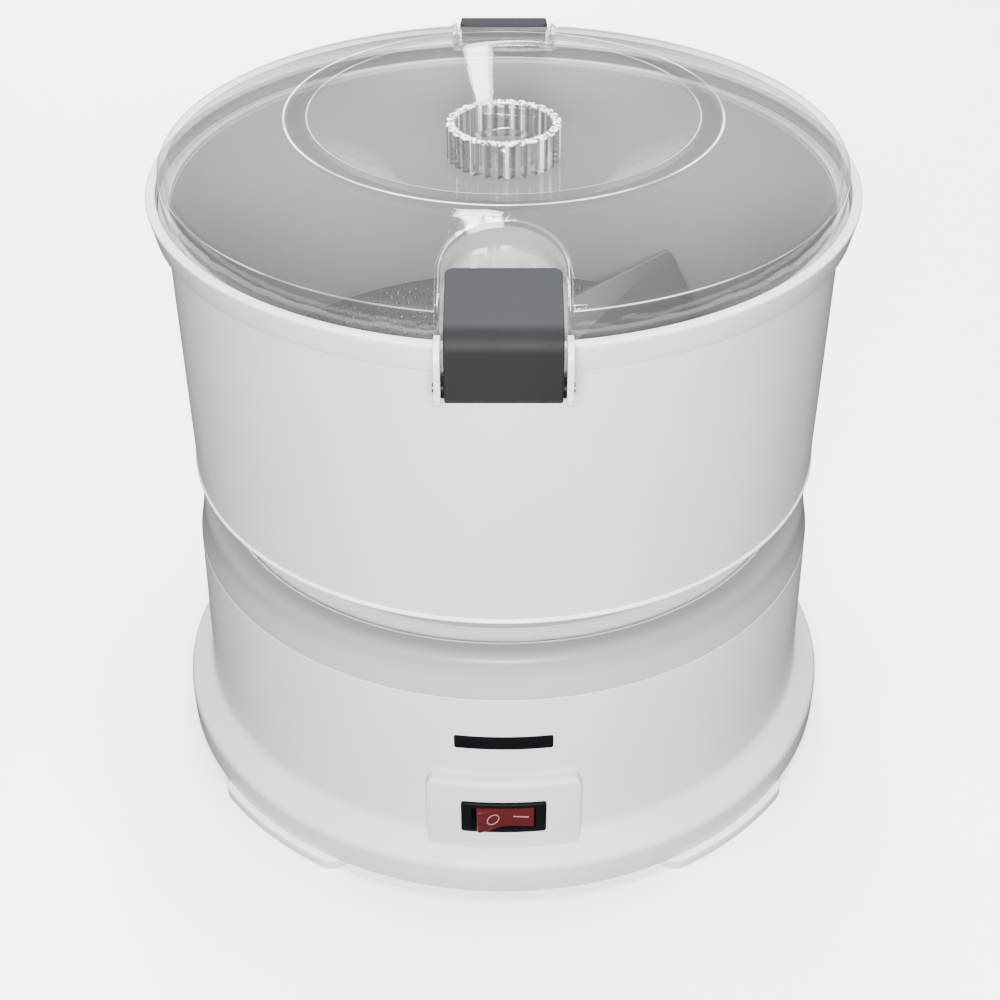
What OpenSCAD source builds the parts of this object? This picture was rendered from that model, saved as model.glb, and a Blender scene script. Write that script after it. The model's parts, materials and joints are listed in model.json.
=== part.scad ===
// Electric potato peeler: a round base with a belt drive, a twist-off bowl with a
// ridged abrasive disc, and a clear lid held by two spring-plate clips.
// Origin on the spindle axis at the table, +Z up, the switch faces -Y. Millimetres.

/* [Base drum] */
// Height of the foot pads under the base
foot_h = 5; // [4:0.5:8]
// How far the flange at the table stands out from the drum
flange_out = 10.4; // [8:0.1:12]
// Height of the flange's upright edge
flange_h = 12.4; // [10:0.2:15]
// Height of the sloped top of the flange
flange_cone_h = 7.9; // [6:0.1:10]
// Drum radius where it meets the flange
drum_foot_r = 124.6; // [112:0.1:138]
// How much narrower the drum is at its top seam
drum_draft = 1.5; // [0.8:0.1:2]
// Height of the drum between flange and top seam
drum_h = 65.7; // [64:0.1:68]
// Wall thickness of the drum and flange
wall = 2.5; // [2:0.1:2.8]
// Thickness of the bottom plate
bottom_t = 2.5; // [2:0.1:3]
// Number of cooling slots in the bottom plate
vent_count = 24; // [12:2:36]
// Width of one cooling slot
vent_w = 3.2; // [2:0.1:4]

/* [Foot pads] */
// How far the foot pads stand out from the flange
foot_out = 2.5; // [1.5:0.1:3]
// Radial width of a foot pad
foot_w = 16.5; // [14:0.5:18]
// Angle of a foot pad's middle from the front
foot_angle = 42; // [36:0.5:48]
// Angle that one foot pad covers, its round ends not counted
foot_span = 22.5; // [15:0.5:30]
// Radius of the pegs that hold a pad in the bottom plate
foot_peg_r = 2.4; // [2:0.1:3]

/* [Top deck] */
// Height of the deck above the drum's seam
deck_rise = 17.3; // [16:0.1:19]
// How far the shoulder leans in before it rounds over
shoulder_lean = 2.9; // [2:0.1:3.2]
// Distance of the flat lip on top of the deck from the drum's edge
lip_inset = 8.3; // [7.6:0.1:9]
// Width of the flat lip
lip_w = 3.2; // [2:0.1:4]
// Height of the shoulder's rounded edge
shoulder_round = 3.8; // [3:0.1:5]
// Drop from the lip to the ledge inside it
ledge_drop = 1.7; // [1:0.1:2.5]
// Width of the ledge between the lip and the well
ledge_w = 9.3; // [8.6:0.1:9.7]
// Depth of the well below the ledge
well_depth = 7; // [6.5:0.1:8]
// Thickness of the deck's walls
deck_t = 2.4; // [2:0.1:2.6]
// Height of the tower round the spindle above the well's floor
tower_h = 34.4; // [32:0.1:36]
// Wall of the tower round the spindle
tower_t = 3.4; // [3:0.1:3.6]
// How far the deck's inner skirt reaches down inside the drum
skirt_h = 5; // [3:0.1:7]

/* [Badge strip] */
// Length of the plain strip on the drum
badge_w = 35.8; // [30:0.1:40]
// Height of the plain strip
badge_h = 5.9; // [5:0.1:7]
// Height of the strip's lower edge above the table
badge_z = 68; // [64:0.5:74]
// Thickness of the strip
badge_t = 1; // [0.8:0.1:1.2]
// Depth of the recess that takes the strip
badge_recess = 0.7; // [0.5:0.1:0.8]

/* [Switch] */
// Half width of the raised switch housing
box_half_w = 28.4; // [24:0.1:32]
// Height of the switch housing's top above the table
box_top_z = 55; // [52:0.5:58]
// How far the switch housing's face stands out from the drum
box_out = 4; // [3.4:0.1:4.8]
// Corner radius of the switch housing
box_corner = 5; // [3:0.1:7]
// Chamfer along the switch housing's top edge
box_chamfer = 1.6; // [1:0.1:2.5]
// Width of the switch's bezel
bezel_w = 31.4; // [29:0.1:34]
// Height of the switch's bezel
bezel_h = 14.4; // [13.6:0.1:16]
// Height of the switch's middle above the table
switch_z = 38.8; // [36:0.1:42]
// How far the bezel stands off the housing
bezel_t = 1.4; // [1:0.1:1.8]
// Margin of the bezel beyond the switch body
bezel_lap = 1.9; // [1.2:0.1:2.4]
// Depth of the switch body behind the face
switch_d = 24; // [20:0.5:28]
// Half length of the rocker
rocker_half = 10.6; // [9.5:0.1:11]
// Height of the rocker
rocker_h = 10.2; // [9.6:0.1:10.4]
// How far the rocker's wing tips stand out in front of its pivot
rocker_wing = 5.5; // [4.8:0.1:6.2]
// How far the rocker's middle stands out in front of its pivot
rocker_dip = 3.1; // [2.4:0.1:3.6]
// Angle between the rocker's off and on positions
rocker_throw = 20; // [14:1:22]
// Depth of the rocker's pivot behind the bezel's face
pivot_depth = 4.6; // [4:0.1:5.4]
// Radius of the rocker's pivot pins
pivot_r = 1.2; // [1:0.05:1.4]

/* [Bowl] */
// How much narrower the bowl's bottom is than the drum's top
bowl_inset = 1.8; // [1.2:0.1:2.4]
// How much wider the bowl is at its top than at its bottom
bowl_draft = 0.5; // [0.2:0.1:1]
// Wall thickness of the bowl
bowl_wall = 2.5; // [2.2:0.1:2.6]
// Height of the bowl's underside above the deck's lip
bowl_gap = 15.4; // [14:0.1:17]
// Height of the bowl from underside to top edge
bowl_h = 107.3; // [104:0.1:110]
// Thickness of the bowl's floor
bowl_floor = 3; // [2.5:0.1:3.4]
// Radius of the rounded edge under the bowl
bowl_round = 4.9; // [3:0.1:6]
// Gap between the well's wall and the bowl's ring, for the lugs
ring_gap = 4.7; // [4:0.1:6]
// Wall of that ring
ring_t = 2.6; // [2:0.1:3.2]
// Number of bayonet lugs on the ring
lug_count = 4; // [3:1:5]
// Angle that one bayonet lug covers
lug_span = 20; // [14:1:22]
// Height of a bayonet lug
lug_h = 2.8; // [2:0.1:3.2]
// Angle that the bowl turns between locked and free
twist_angle = 24; // [22:1:28]
// Gap between the deck's tower and the bowl's chimney round it
chimney_gap = 0.6; // [0.4:0.1:0.8]
// Wall of the chimney
chimney_t = 2.5; // [2:0.1:2.6]
// Height of the chimney above the bowl's floor
chimney_h = 13; // [11:0.1:13.5]

/* [Rim collar] */
// How far the collar's top stands out from the bowl
collar_out = 6.2; // [5.4:0.1:6.6]
// Height of the collar
collar_h = 10.5; // [9:0.1:12]
// How far the collar's outer face leans in to its bottom
collar_lean = 2.3; // [1.5:0.1:2.6]
// Width of the collar's flat top
collar_top_w = 4.1; // [3.6:0.1:4.3]
// Height of the collar's top above the bowl's edge
collar_up = 6; // [5:0.1:7]
// Height of the seal on the bowl's edge
seal_h = 1.5; // [1:0.1:2]
// Inner half distance between a pair of clip ears
ear_in = 19; // [18.6:0.1:20]
// Thickness of a clip ear
ear_t = 2.1; // [1.8:0.1:2.6]
// Height of an ear from bottom to top
ear_h = 20; // [18:0.5:21]
// Height of an ear's foot below the collar's bottom
ear_drop = 7; // [6:0.1:7.5]

/* [Lid] */
// Gap between the lid and the collar's throat
lid_gap = 1.2; // [1:0.1:1.5]
// Height of the shoulder above the collar's top
shoulder_up = 9.5; // [8.6:0.1:10]
// Thickness of the lid
lid_t = 2.4; // [2:0.1:2.6]
// Width of the lid's sloped top, from the shoulder to the crest
slope_w = 44.7; // [43:0.1:46]
// Height of the crest above the shoulder
crest_up = 13.2; // [12.6:0.1:14]
// Width of the crest before it turns down into the dish
crest_w = 9.4; // [8:0.1:11]
// Width of the dish's sloping wall
dish_wall_w = 26.6; // [24:0.1:28]
// Depth of the dish below the crest
dish_depth = 17.6; // [16.5:0.1:18.5]
// Half width of the pocket under a clip
pocket_half = 19.3; // [19:0.1:19.8]
// Distance of the pocket's round end from the crest
pocket_gap = 8; // [6.5:0.1:10]
// Depth of the pocket below the lid's slope
pocket_depth = 6.6; // [6:0.1:7]
// Width of the bead round the pocket
bead_w = 1.6; // [1.2:0.1:2]
// Height of the bead above the lid's slope
bead_h = 0.8; // [0.4:0.1:1]

/* [Knob] */
// Outer radius of the knob ring
knob_r = 20.5; // [19:0.1:22]
// Wall of the knob ring
knob_t = 3; // [2.6:0.1:3.6]
// Height of the knob above the dish's floor
knob_h = 13; // [11:0.1:14]
// Number of finger flutes round the knob
flute_count = 28; // [20:1:32]
// Radius of one flute
flute_r = 1.4; // [1.1:0.05:1.6]
// Thickness of the knob's floor
knob_floor = 2.4; // [2:0.1:3]
// Radius of the rivet that holds the knob
rivet_r = 2; // [1.6:0.1:2.4]

/* [Clips] */
// Half width of a clip
clip_half = 17.9; // [17.4:0.1:18.2]
// Thickness of the clip's plate
clip_t = 3; // [2.6:0.1:3.2]
// How far the clip's outer face stands out from the collar
clip_stand = 8.4; // [8:0.1:8.8]
// Outer radius of the clip's bend
clip_bend = 6; // [5:0.1:6.4]
// Slope of the clip's upper leg
clip_slope = 15; // [14:0.5:16]
// Distance of the clip's tip from the pocket's round end
clip_tip_gap = 20; // [19:0.1:21]
// Height of the clip's bend centre above the collar's top
clip_bend_up = 3; // [2.8:0.1:3.4]
// How far the hinge pin stands out from the collar
pin_out = 3.3; // [3:0.1:3.6]
// Drop of the hinge pin below the collar's bottom
pin_drop = 1; // [0.6:0.1:1.4]
// Radius of the hinge pin
pin_r = 1.5; // [1.3:0.05:1.6]
// Radius of the knuckle round the hinge pin
knuckle_r = 3.2; // [3:0.1:3.4]
// Corner radius at the clip's tip
clip_corner = 4; // [2:0.1:6]
// Depth of the hook under the clip's tip
hook_h = 3.6; // [3:0.1:3.9]
// Angle that a clip opens
clip_open = 130; // [110:1:134]

/* [Peeling disc] */
// Gap between the disc and the bowl's wall
disc_gap = 3.8; // [2.8:0.1:6]
// Height of the disc above the bowl's floor
disc_up = 4.3; // [3.6:0.1:6]
// Thickness of the disc
disc_t = 3; // [2.4:0.1:3.6]
// Height of the disc's turned-down rim
disc_rim_h = 2.4; // [1:0.1:2.8]
// Number of ridges on the disc
ridge_count = 3; // [2:1:4]
// Height of a ridge at the disc's rim
ridge_h = 26; // [18:0.5:30]
// Height of a ridge at its inner end
ridge_low = 6; // [4:0.5:10]
// Sideways offset of a ridge's crest from the axis
ridge_offset = 41.8; // [34:0.1:46]
// Direction of the first ridge's crest
ridge_angle = 30.5; // [0:0.5:119]
// Width of a ridge's gentle side
ridge_run = 30; // [22:0.5:34]
// Width of a ridge's steep side
ridge_back = 10; // [6:0.5:14]
// Thickness of the abrasive plates
grit_t = 0.8; // [0.5:0.1:1.2]
// Gap between the bowl's chimney and the disc's hub
hub_gap = 1; // [0.8:0.1:2]
// Wall of the disc's hub
hub_wall = 4; // [3:0.1:4.2]
// Height of the hub above the disc's top
hub_h = 22; // [21:0.1:26]
// How far the disc lifts to clear the spindle's hexagon
disc_travel = 25; // [12:1:30]

/* [Belt drive] */
// Radius of the spindle
spindle_r = 6; // [5.5:0.1:6.4]
// Width across the flats of the spindle's hexagon
hex_af = 9; // [8:0.1:9.4]
// Length of the spindle's hexagon
hex_h = 8.4; // [7:0.1:9]
// Outer radius of the bushes
bush_r = 9; // [8.6:0.1:9.4]
// Length of a bush
bush_h = 13; // [10:0.5:15]
// Outer radius of the bearing tube
tube_r = 12; // [11:0.1:13]
// Gap between the bearing tube and the deck's tower
tube_gap = 0.5; // [0.3:0.1:0.8]
// Radius of the bearing tube's flange
tube_flange_r = 29; // [27:0.5:30]
// Thickness of the bearing tube's flange
tube_flange_t = 4; // [3:0.1:5]
// Gap between the large pulley and the motor pulley's flanges
pulley_gap = 7.4; // [5:0.1:11]
// Height of the pulleys' belt faces
pulley_h = 12; // [10:0.1:13]
// Radius of the motor's pulley
pinion_r = 8; // [7:0.1:9]
// Radius of the flanges on the motor's pulley
pinion_flange_r = 10; // [9.6:0.1:10.8]
// Gap between the motor and the drum's wall
motor_gap = 3.6; // [3:0.1:4.6]
// Thickness of the drive belt
belt_t = 2; // [1.5:0.1:2.2]
// Width of the drive belt
belt_w = 10; // [8:0.1:10]
// Number of ribs on the large pulley
rib_count = 5; // [3:1:6]
// Gap between the bottom plate and the pulley's nut
under_gap = 1.5; // [1:0.1:2]
// Height of the pulley's nut
nut_h = 4; // [3.4:0.1:4.4]
// Width across the flats of the pulley's nut
nut_af = 15; // [14:0.1:17]

/* [Chassis] */
// Gap between the chassis plate and the drum's wall
chassis_gap = 8.6; // [6.6:0.1:10.6]
// Thickness of the chassis plate
chassis_t = 2; // [1.6:0.1:2.2]
// Distance of the deck's posts from the chassis plate's edge
post_in = 12; // [12:0.1:14]
// Angle of the deck's posts from the X axis
post_angle = 60; // [58:1:64]
// Radius of a deck post
post_radius = 5; // [4.4:0.1:5.4]
// Distance of the drum's screw lugs from its top edge
lug_screw_in = 10.5; // [10.1:0.1:10.9]
// Distance of the bottom plate's screws from the flange's edge
bottom_screw_in = 8.4; // [8:0.1:8.8]
// Radius of the screws' shanks
screw_r = 1.9; // [1.6:0.1:2]
// Radius of the screws' heads
head_r = 3.6; // [3.2:0.1:3.8]
// Height of the screws' heads
head_h = 2.4; // [2:0.1:2.8]

/* [Motor] */
// Gap between the motor and the bearing tube's flange
motor_room = 4; // [3.4:0.1:6]
// Gap between the motor's top bearing and the deck
motor_top_gap = 3.4; // [2:0.1:5]
// Radial depth of the stator, from its outside to the rotor
stator_w = 20; // [19:0.1:21]
// Air gap between rotor and stator
air_gap = 0.4; // [0.3:0.05:0.6]
// Radius of the motor's shaft
shaft_r = 4; // [3.5:0.1:4.4]
// Outer radius of the motor's bearings
bearing_r = 9; // [8.5:0.1:9.5]
// Height of a motor bearing
bearing_h = 7; // [6:0.1:7]
// Height of the winding above and below the stack
coil_h = 8; // [6:0.1:8]
// Height of the space under the stack
under_stack = 15; // [14:0.1:16]
// How much smaller the cooling fan is than the stator
fan_in = 11; // [9:0.1:14]
// Height of the fan's blades
fan_h = 5; // [4:0.1:5]
// Number of fan blades
blade_count = 11; // [7:1:15]
// Radius of the motor bracket's pillars
pillar_r = 3.4; // [3:0.1:3.5]
// Distance of the pillars from the stator's outside
pillar_in = 4.4; // [4:0.1:4.8]
// Thickness of the motor's brackets
bracket_t = 3; // [2.6:0.1:3.2]

/* [Electrical parts] */
// Radius of the run capacitor
cap_r = 16; // [14:0.5:18]
// Height of the run capacitor
cap_h = 46; // [38:0.5:50]
// Distance of the capacitor's axis from the chassis plate's edge
cap_in = 42; // [36:0.5:46]
// Distance of the terminal block from the chassis plate's edge
block_in = 28; // [27:0.5:32]
// Length of the terminal block
block_w = 36; // [34:0.5:40]
// Depth of the terminal block
block_d = 14; // [12:0.5:16]
// Height of the terminal block
block_h = 12; // [11:0.5:14]
// Radius of the bore for the mains cord
cord_bore_r = 3.6; // [3:0.1:3.8]
// Height of the cord inlet above the table
inlet_z = 52; // [48:0.5:60]
// Radius of the inlet's body
inlet_r = 7; // [6:0.1:8]
// Radius of the inlet's outer flange
inlet_flange_r = 9.5; // [9:0.1:11]
// Radius of the internal leads
lead_r = 1.3; // [1:0.1:1.6]

/* [Fits] */
// Radial clearance of shafts and pins that turn
run_gap = 0.04; // [0.02:0.01:0.08]
// Clearance of pieces that pass without touching
free_gap = 0.3; // [0.25:0.05:0.4]
// Clearance of screws and pegs in their holes
hole_gap = 0.08; // [0.05:0.01:0.15]

/* [Hidden] */

e = 0.01;
$fn = 96;

// Levels above the table
flange_top_z = foot_h + flange_h;
cone_top_z = flange_top_z + flange_cone_h;
drum_top_z = cone_top_z + drum_h;
deck_z = drum_top_z + deck_rise;
ledge_z = deck_z - ledge_drop;
well_z = ledge_z - well_depth;
deck_under = well_z - deck_t;
tower_top = well_z + tower_h;
bottom_top = foot_h + bottom_t;
nut_z = bottom_top + under_gap;
hub_low_z = nut_z + nut_h;
belt_z = hub_low_z + 1;
pulley_top = belt_z + pulley_h;
washer_z = pulley_top + 2.4;
chassis_z = washer_z + 1.6;
chassis_top = chassis_z + chassis_t;
bowl_z = deck_z + bowl_gap;
floor_z = bowl_z + bowl_floor;
bowl_top = bowl_z + bowl_h;
collar_top = bowl_top + collar_up;
collar_low = collar_top - collar_h;
seal_top = bowl_top + seal_h;
shoulder_z = collar_top + shoulder_up;
crest_z = shoulder_z + crest_up;
dish_z = crest_z - dish_depth;
disc_z = floor_z + disc_up;
disc_top = disc_z + disc_t;
hub_top = disc_top + hub_h;
socket_z = floor_z + chimney_h + 2;
hex_z = socket_z - 0.2;
web_h = 6;

// Radii that follow from the drum's and the fits
flange_r = drum_foot_r + flange_out;
foot_r = flange_r + foot_out;
box_face_r = drum_foot_r + box_out;
drum_top_r = drum_foot_r - drum_draft;
flange_in = flange_r - wall;
drum_in = drum_top_r - wall;
lip_r = drum_top_r - lip_inset;
well_r = lip_r - lip_w - ledge_w;
tower_in = tube_r + tube_gap;
tower_r = tower_in + tower_t;
chimney_r = tower_r + chimney_gap;
hub_bore = chimney_r + chimney_t + hub_gap;
hub_r = hub_bore + hub_wall;
bowl_low_r = drum_top_r - bowl_inset;
bowl_top_r = bowl_low_r + bowl_draft;
ring_r = well_r - ring_gap;
collar_in = bowl_top_r + free_gap;
collar_r = bowl_top_r + collar_out;
collar_throat = collar_r - collar_top_w;
lid_r = collar_throat - lid_gap;
crest_r = lid_r - slope_w;
dish_top_r = crest_r - crest_w;
dish_r = dish_top_r - dish_wall_w;
pocket_end = crest_r + pocket_gap;
clip_out = collar_r + clip_stand;
clip_tip = pocket_end + clip_tip_gap;
pin_y = collar_r + pin_out;
disc_r = bowl_low_r - bowl_wall - disc_gap;
chassis_r = drum_in - chassis_gap;
post_r = chassis_r - post_in;
lug_screw_r = drum_top_r - lug_screw_in;
bottom_screw_r = flange_r - bottom_screw_in;
stator_r = (drum_in - motor_gap - tube_flange_r - motor_room) / 2;
motor_x = drum_in - motor_gap - stator_r;
pulley_r = motor_x - pinion_flange_r - pulley_gap;
rotor_r = stator_r - stator_w;
fan_r = stator_r - fan_in;
pillar_at = stator_r - pillar_in;
cap_x = chassis_r - cap_in;
block_y = chassis_r - block_in;
slope = (crest_z - shoulder_z) / (lid_r - crest_r);
pin_z = collar_low - pin_drop;
stack_z = chassis_top + under_stack + 1;
stack_h = deck_under - motor_top_gap - (bearing_h + 0.8) - (fan_h + 1.4) - (coil_h + 1.6) - stack_z;
stack_top = stack_z + stack_h;
fan_z = stack_top + coil_h + 1.6;
upper_z = fan_z + fan_h + 1.4;
pocket_mid = pocket_end + pocket_half;
clip_bend_z = collar_top + clip_bend_up;
clip_bend_y = clip_out - clip_bend;
clip_leg = (clip_bend_y + clip_bend * sin(clip_slope) - clip_tip) / cos(clip_slope);
pivot_y = -(box_face_r + bezel_t - pivot_depth);
switch_half_w = bezel_w / 2 - bezel_lap;
switch_half_h = bezel_h / 2 - bezel_lap + 1;
strip_r = drum_foot_r + (drum_top_r - drum_foot_r) * (badge_z - cone_top_z) / drum_h - badge_recess;

// Quarter of an ellipse as points, from its side to its top
function quarter(cx, cz, a, b, n = 6) = [for (i = [0:n]) [cx + a * cos(90 * i / n), cz + b * sin(90 * i / n)]];

// Height of the lid's outer surface over the slope at radius r
function slope_z(r) = shoulder_z + (lid_r - r) * slope;

module ring(r_out, r_in, h) {
    difference() {
        cylinder(r = r_out, h = h);
        translate([0, 0, -1]) cylinder(r = r_in, h = h + 2);
    }
}

module at_angles(angles, r) {
    for (a = angles) rotate([0, 0, a]) translate([r, 0, 0]) children();
}

// A block with its four upright edges rounded
module round_block(w, d, h, r) {
    translate([-w / 2 + r, -d / 2, 0]) cube([w - 2 * r, d, h]);
    translate([-w / 2, -d / 2 + r, 0]) cube([w, d - 2 * r, h]);
    for (x = [-1, 1]) for (y = [-1, 1])
        translate([x * (w / 2 - r), y * (d / 2 - r), 0]) cylinder(r = r, h = h, $fn = 48);
}

// The same block lying on its back: w along X, h along Z, d deep toward +Y
module face_block(w, h, d, r) {
    rotate([-90, 0, 0]) round_block(w, h, d, r);
}

// A pan-head screw with its head's seat at z = 0 and its shank upward
module screw_up(len) {
    translate([0, 0, -head_h]) difference() {
        cylinder(r = head_r, h = head_h, $fn = 48);
        translate([-0.5, -head_r + 0.8, -e]) cube([1, 2 * head_r - 1.6, head_h * 0.45]);
        translate([-head_r + 0.8, -0.5, -e]) cube([2 * head_r - 1.6, 1, head_h * 0.45]);
    }
    translate([0, 0, -e]) cylinder(r = screw_r, h = len + e, $fn = 48);
}

// A flat ring sector from angle a to angle b
module sector(r_out, r_in, h, a, b) {
    rotate([0, 0, a]) rotate_extrude(angle = b - a) translate([r_in, 0]) square([r_out - r_in, h]);
}

// ---- Fixed base ----

deck_lugs = [45, 135, 225, 315];
bottom_lugs = [20, 160, 200, 340];
posts = [post_angle, 180 - post_angle, 180 + post_angle, -post_angle];
tube_lugs = [45, 135, 225, 315];
lug_z = drum_top_z - skirt_h;

module housing() {
    box_low = flange_top_z + 3;
    color("whitesmoke") difference() {
        union() {
            rotate_extrude() polygon(concat(
                [[flange_in, foot_h], [flange_r, foot_h], [flange_r, flange_top_z - 1]],
                quarter(flange_r - 1.4, flange_top_z - 1, 1.4, 1, 3),
                [[drum_foot_r + 1.2, cone_top_z - 1], [drum_foot_r, cone_top_z]],
                [[drum_top_r, drum_top_z], [drum_in, drum_top_z]],
                [[drum_foot_r - wall, cone_top_z - 1.6], [flange_in, flange_top_z - 2.4]]));
            // Raised housing round the switch
            intersection() {
                rotate_extrude() polygon([[drum_in + 1, box_low], [box_face_r, box_low],
                    [box_face_r, box_top_z - box_chamfer], [box_face_r - box_chamfer, box_top_z],
                    [drum_in + 1, box_top_z]]);
                translate([0, -foot_r, (box_low + box_top_z) / 2])
                    face_block(2 * box_half_w, box_top_z - box_low, foot_r, box_corner);
            }
            // Lugs for the screws that hold the deck
            intersection() {
                at_angles(deck_lugs, lug_screw_r) translate([-4.6, -5.5, lug_z - 4]) cube([20, 11, 4]);
                cylinder(r = drum_top_r - 1, h = drum_top_z);
            }
            // Bosses for the bottom plate's screws
            at_angles(bottom_lugs, bottom_screw_r) translate([0, 0, bottom_top])
                cylinder(r = 4, h = flange_top_z - bottom_top + 1, $fn = 48);
        }
        // Space behind the switch's face
        intersection() {
            translate([0, 0, box_low + wall]) cylinder(r = box_face_r - wall, h = box_top_z - box_low - 2 * wall);
            translate([0, -foot_r, (box_low + box_top_z) / 2])
                face_block(2 * box_half_w - 2 * wall, box_top_z - box_low - 2 * wall, foot_r / 2, box_corner - wall + 0.6);
        }
        // Opening for the switch body
        translate([-switch_half_w - hole_gap, -box_face_r - 2, switch_z - switch_half_h - hole_gap])
            cube([2 * (switch_half_w + hole_gap), switch_d / 2 + 2, 2 * (switch_half_h + hole_gap)]);
        // Recess for the plain strip
        intersection() {
            difference() {
                translate([0, 0, badge_z - hole_gap]) cylinder(r = flange_r, h = badge_h + 2 * hole_gap);
                translate([0, 0, badge_z - 1]) cylinder(r = strip_r, h = badge_h + 2);
            }
            translate([0, -foot_r, badge_z + badge_h / 2])
                face_block(badge_w + 2 * hole_gap, badge_h + 2 * hole_gap, foot_r, 1);
        }
        at_angles(deck_lugs, lug_screw_r) translate([0, 0, lug_z - 5]) cylinder(r = screw_r + hole_gap, h = 6, $fn = 48);
        at_angles(bottom_lugs, bottom_screw_r) translate([0, 0, bottom_top - 1])
            cylinder(r = screw_r + hole_gap, h = 9, $fn = 48);
        // Hole for the cord inlet
        translate([0, drum_in - 6, inlet_z]) rotate([-90, 0, 0]) cylinder(r = inlet_r + hole_gap, h = 14);
    }
}

module top_deck() {
    turn_r = drum_top_r - shoulder_lean;
    round_z = deck_z - shoulder_round;
    lug_top = ledge_z - deck_t;
    color("white") difference() {
        union() {
            rotate_extrude() polygon(concat(
                [[drum_in - 0.3, lug_z + 0.2], [drum_in - 0.3, drum_top_z + 0.3], [drum_top_r, drum_top_z + 0.3]],
                [[drum_top_r - shoulder_lean * 0.45, drum_top_z + deck_rise * 0.4]],
                quarter(lip_r, round_z, turn_r - lip_r, shoulder_round, 6),
                [[lip_r - lip_w, deck_z], [lip_r - lip_w, ledge_z], [well_r, ledge_z], [well_r, well_z]],
                [[tower_r, well_z], [tower_r, tower_top], [spindle_r + 1.4, tower_top]],
                [[spindle_r + 1.4, tower_top - 2.4], [tower_in, tower_top - 2.4], [tower_in, deck_under]],
                [[well_r + deck_t, deck_under], [well_r + deck_t, lug_top], [lip_r - lip_w - deck_t, lug_top]],
                [[lip_r - lip_w + 0.4, deck_z - deck_t], [turn_r - deck_t - 1.6, deck_z - deck_t - 1]],
                [[drum_in - 0.3 - deck_t, drum_top_z + 2], [drum_in - 0.3 - deck_t, lug_z + 0.2]]));
            // Tabs that hold the bowl's lugs down
            for (i = [0:lug_count - 1]) rotate([0, 0, i * 360 / lug_count - lug_span / 2])
                translate([0, 0, well_z + lug_h + 0.9])
                sector(well_r + 1, ring_r + free_gap * 2, ledge_z - well_z - lug_h - 0.9, 0, lug_span);
            // Bosses over the drum's lugs
            at_angles(deck_lugs, lug_screw_r) translate([0, 0, lug_z + 0.2])
                cylinder(r = 4.2, h = lug_top - lug_z + 1, $fn = 48);
            // Posts that carry the chassis plate
            at_angles(posts, post_r) translate([0, 0, chassis_top])
                cylinder(r = post_radius, h = deck_under - chassis_top + 1, $fn = 48);
        }
        at_angles(deck_lugs, lug_screw_r) translate([0, 0, lug_z - 1])
            cylinder(r = screw_r + hole_gap, h = 14, $fn = 48);
        at_angles(posts, post_r) translate([0, 0, chassis_top - 1])
            cylinder(r = screw_r + hole_gap, h = 16, $fn = 48);
    }
}

module bottom_plate() {
    color("gainsboro") difference() {
        union() {
            translate([0, 0, foot_h]) cylinder(r = flange_in - free_gap, h = bottom_t);
            // Stiffening ring
            translate([0, 0, bottom_top - e]) ring(pulley_r + 12, pulley_r + 10, 3);
        }
        for (i = [0:vent_count - 1]) rotate([0, 0, i * 360 / vent_count])
            translate([pulley_r + 18, -vent_w / 2, 0]) cube([26, vent_w, foot_h + 10]);
        at_angles(bottom_lugs, bottom_screw_r) translate([0, 0, foot_h - 1])
            cylinder(r = screw_r + hole_gap, h = bottom_t + 2, $fn = 48);
        at_angles(bottom_lugs, bottom_screw_r) translate([0, 0, foot_h - 1])
            cylinder(r = head_r + hole_gap, h = 2, $fn = 48);
        foot_places() translate([0, 0, foot_h - 1]) cylinder(r = foot_peg_r + hole_gap, h = bottom_t + 2, $fn = 48);
    }
}

// Places of the pegs, two for each of the four pads
module foot_places() {
    for (s = [-90, 90]) for (m = [-1, 1]) for (p = [-1, 1])
        rotate([0, 0, s + m * foot_angle + p * foot_span * 0.3])
        translate([foot_r - foot_w * 0.68, 0, 0]) children();
}

module foot_pads() {
    mid = foot_r - foot_w / 2;
    color("ghostwhite") {
        for (s = [-90, 90]) for (m = [-1, 1]) rotate([0, 0, s + m * foot_angle]) {
            rotate([0, 0, -foot_span / 2]) rotate_extrude(angle = foot_span) translate([mid - foot_w / 2, 0])
                polygon([[1, 0], [foot_w - 1, 0], [foot_w, 1], [foot_w, foot_h - 0.6], [foot_w - 0.6, foot_h],
                    [0, foot_h], [0, 1]]);
            for (p = [-1, 1]) rotate([0, 0, p * foot_span / 2]) translate([mid, 0, 0]) rotate_extrude()
                polygon([[0, 0], [foot_w / 2 - 1, 0], [foot_w / 2, 1], [foot_w / 2, foot_h - 0.6],
                    [foot_w / 2 - 0.6, foot_h], [0, foot_h]]);
        }
        foot_places() translate([0, 0, foot_h - e]) cylinder(r = foot_peg_r, h = bottom_t, $fn = 48);
    }
}

module badge_strip() {
    color("black") intersection() {
        translate([0, 0, badge_z - 1]) ring(strip_r + badge_t, strip_r + 0.05, badge_h + 2);
        translate([0, -foot_r, badge_z + badge_h / 2]) face_block(badge_w, badge_h, foot_r, 0.9);
    }
}

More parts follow.
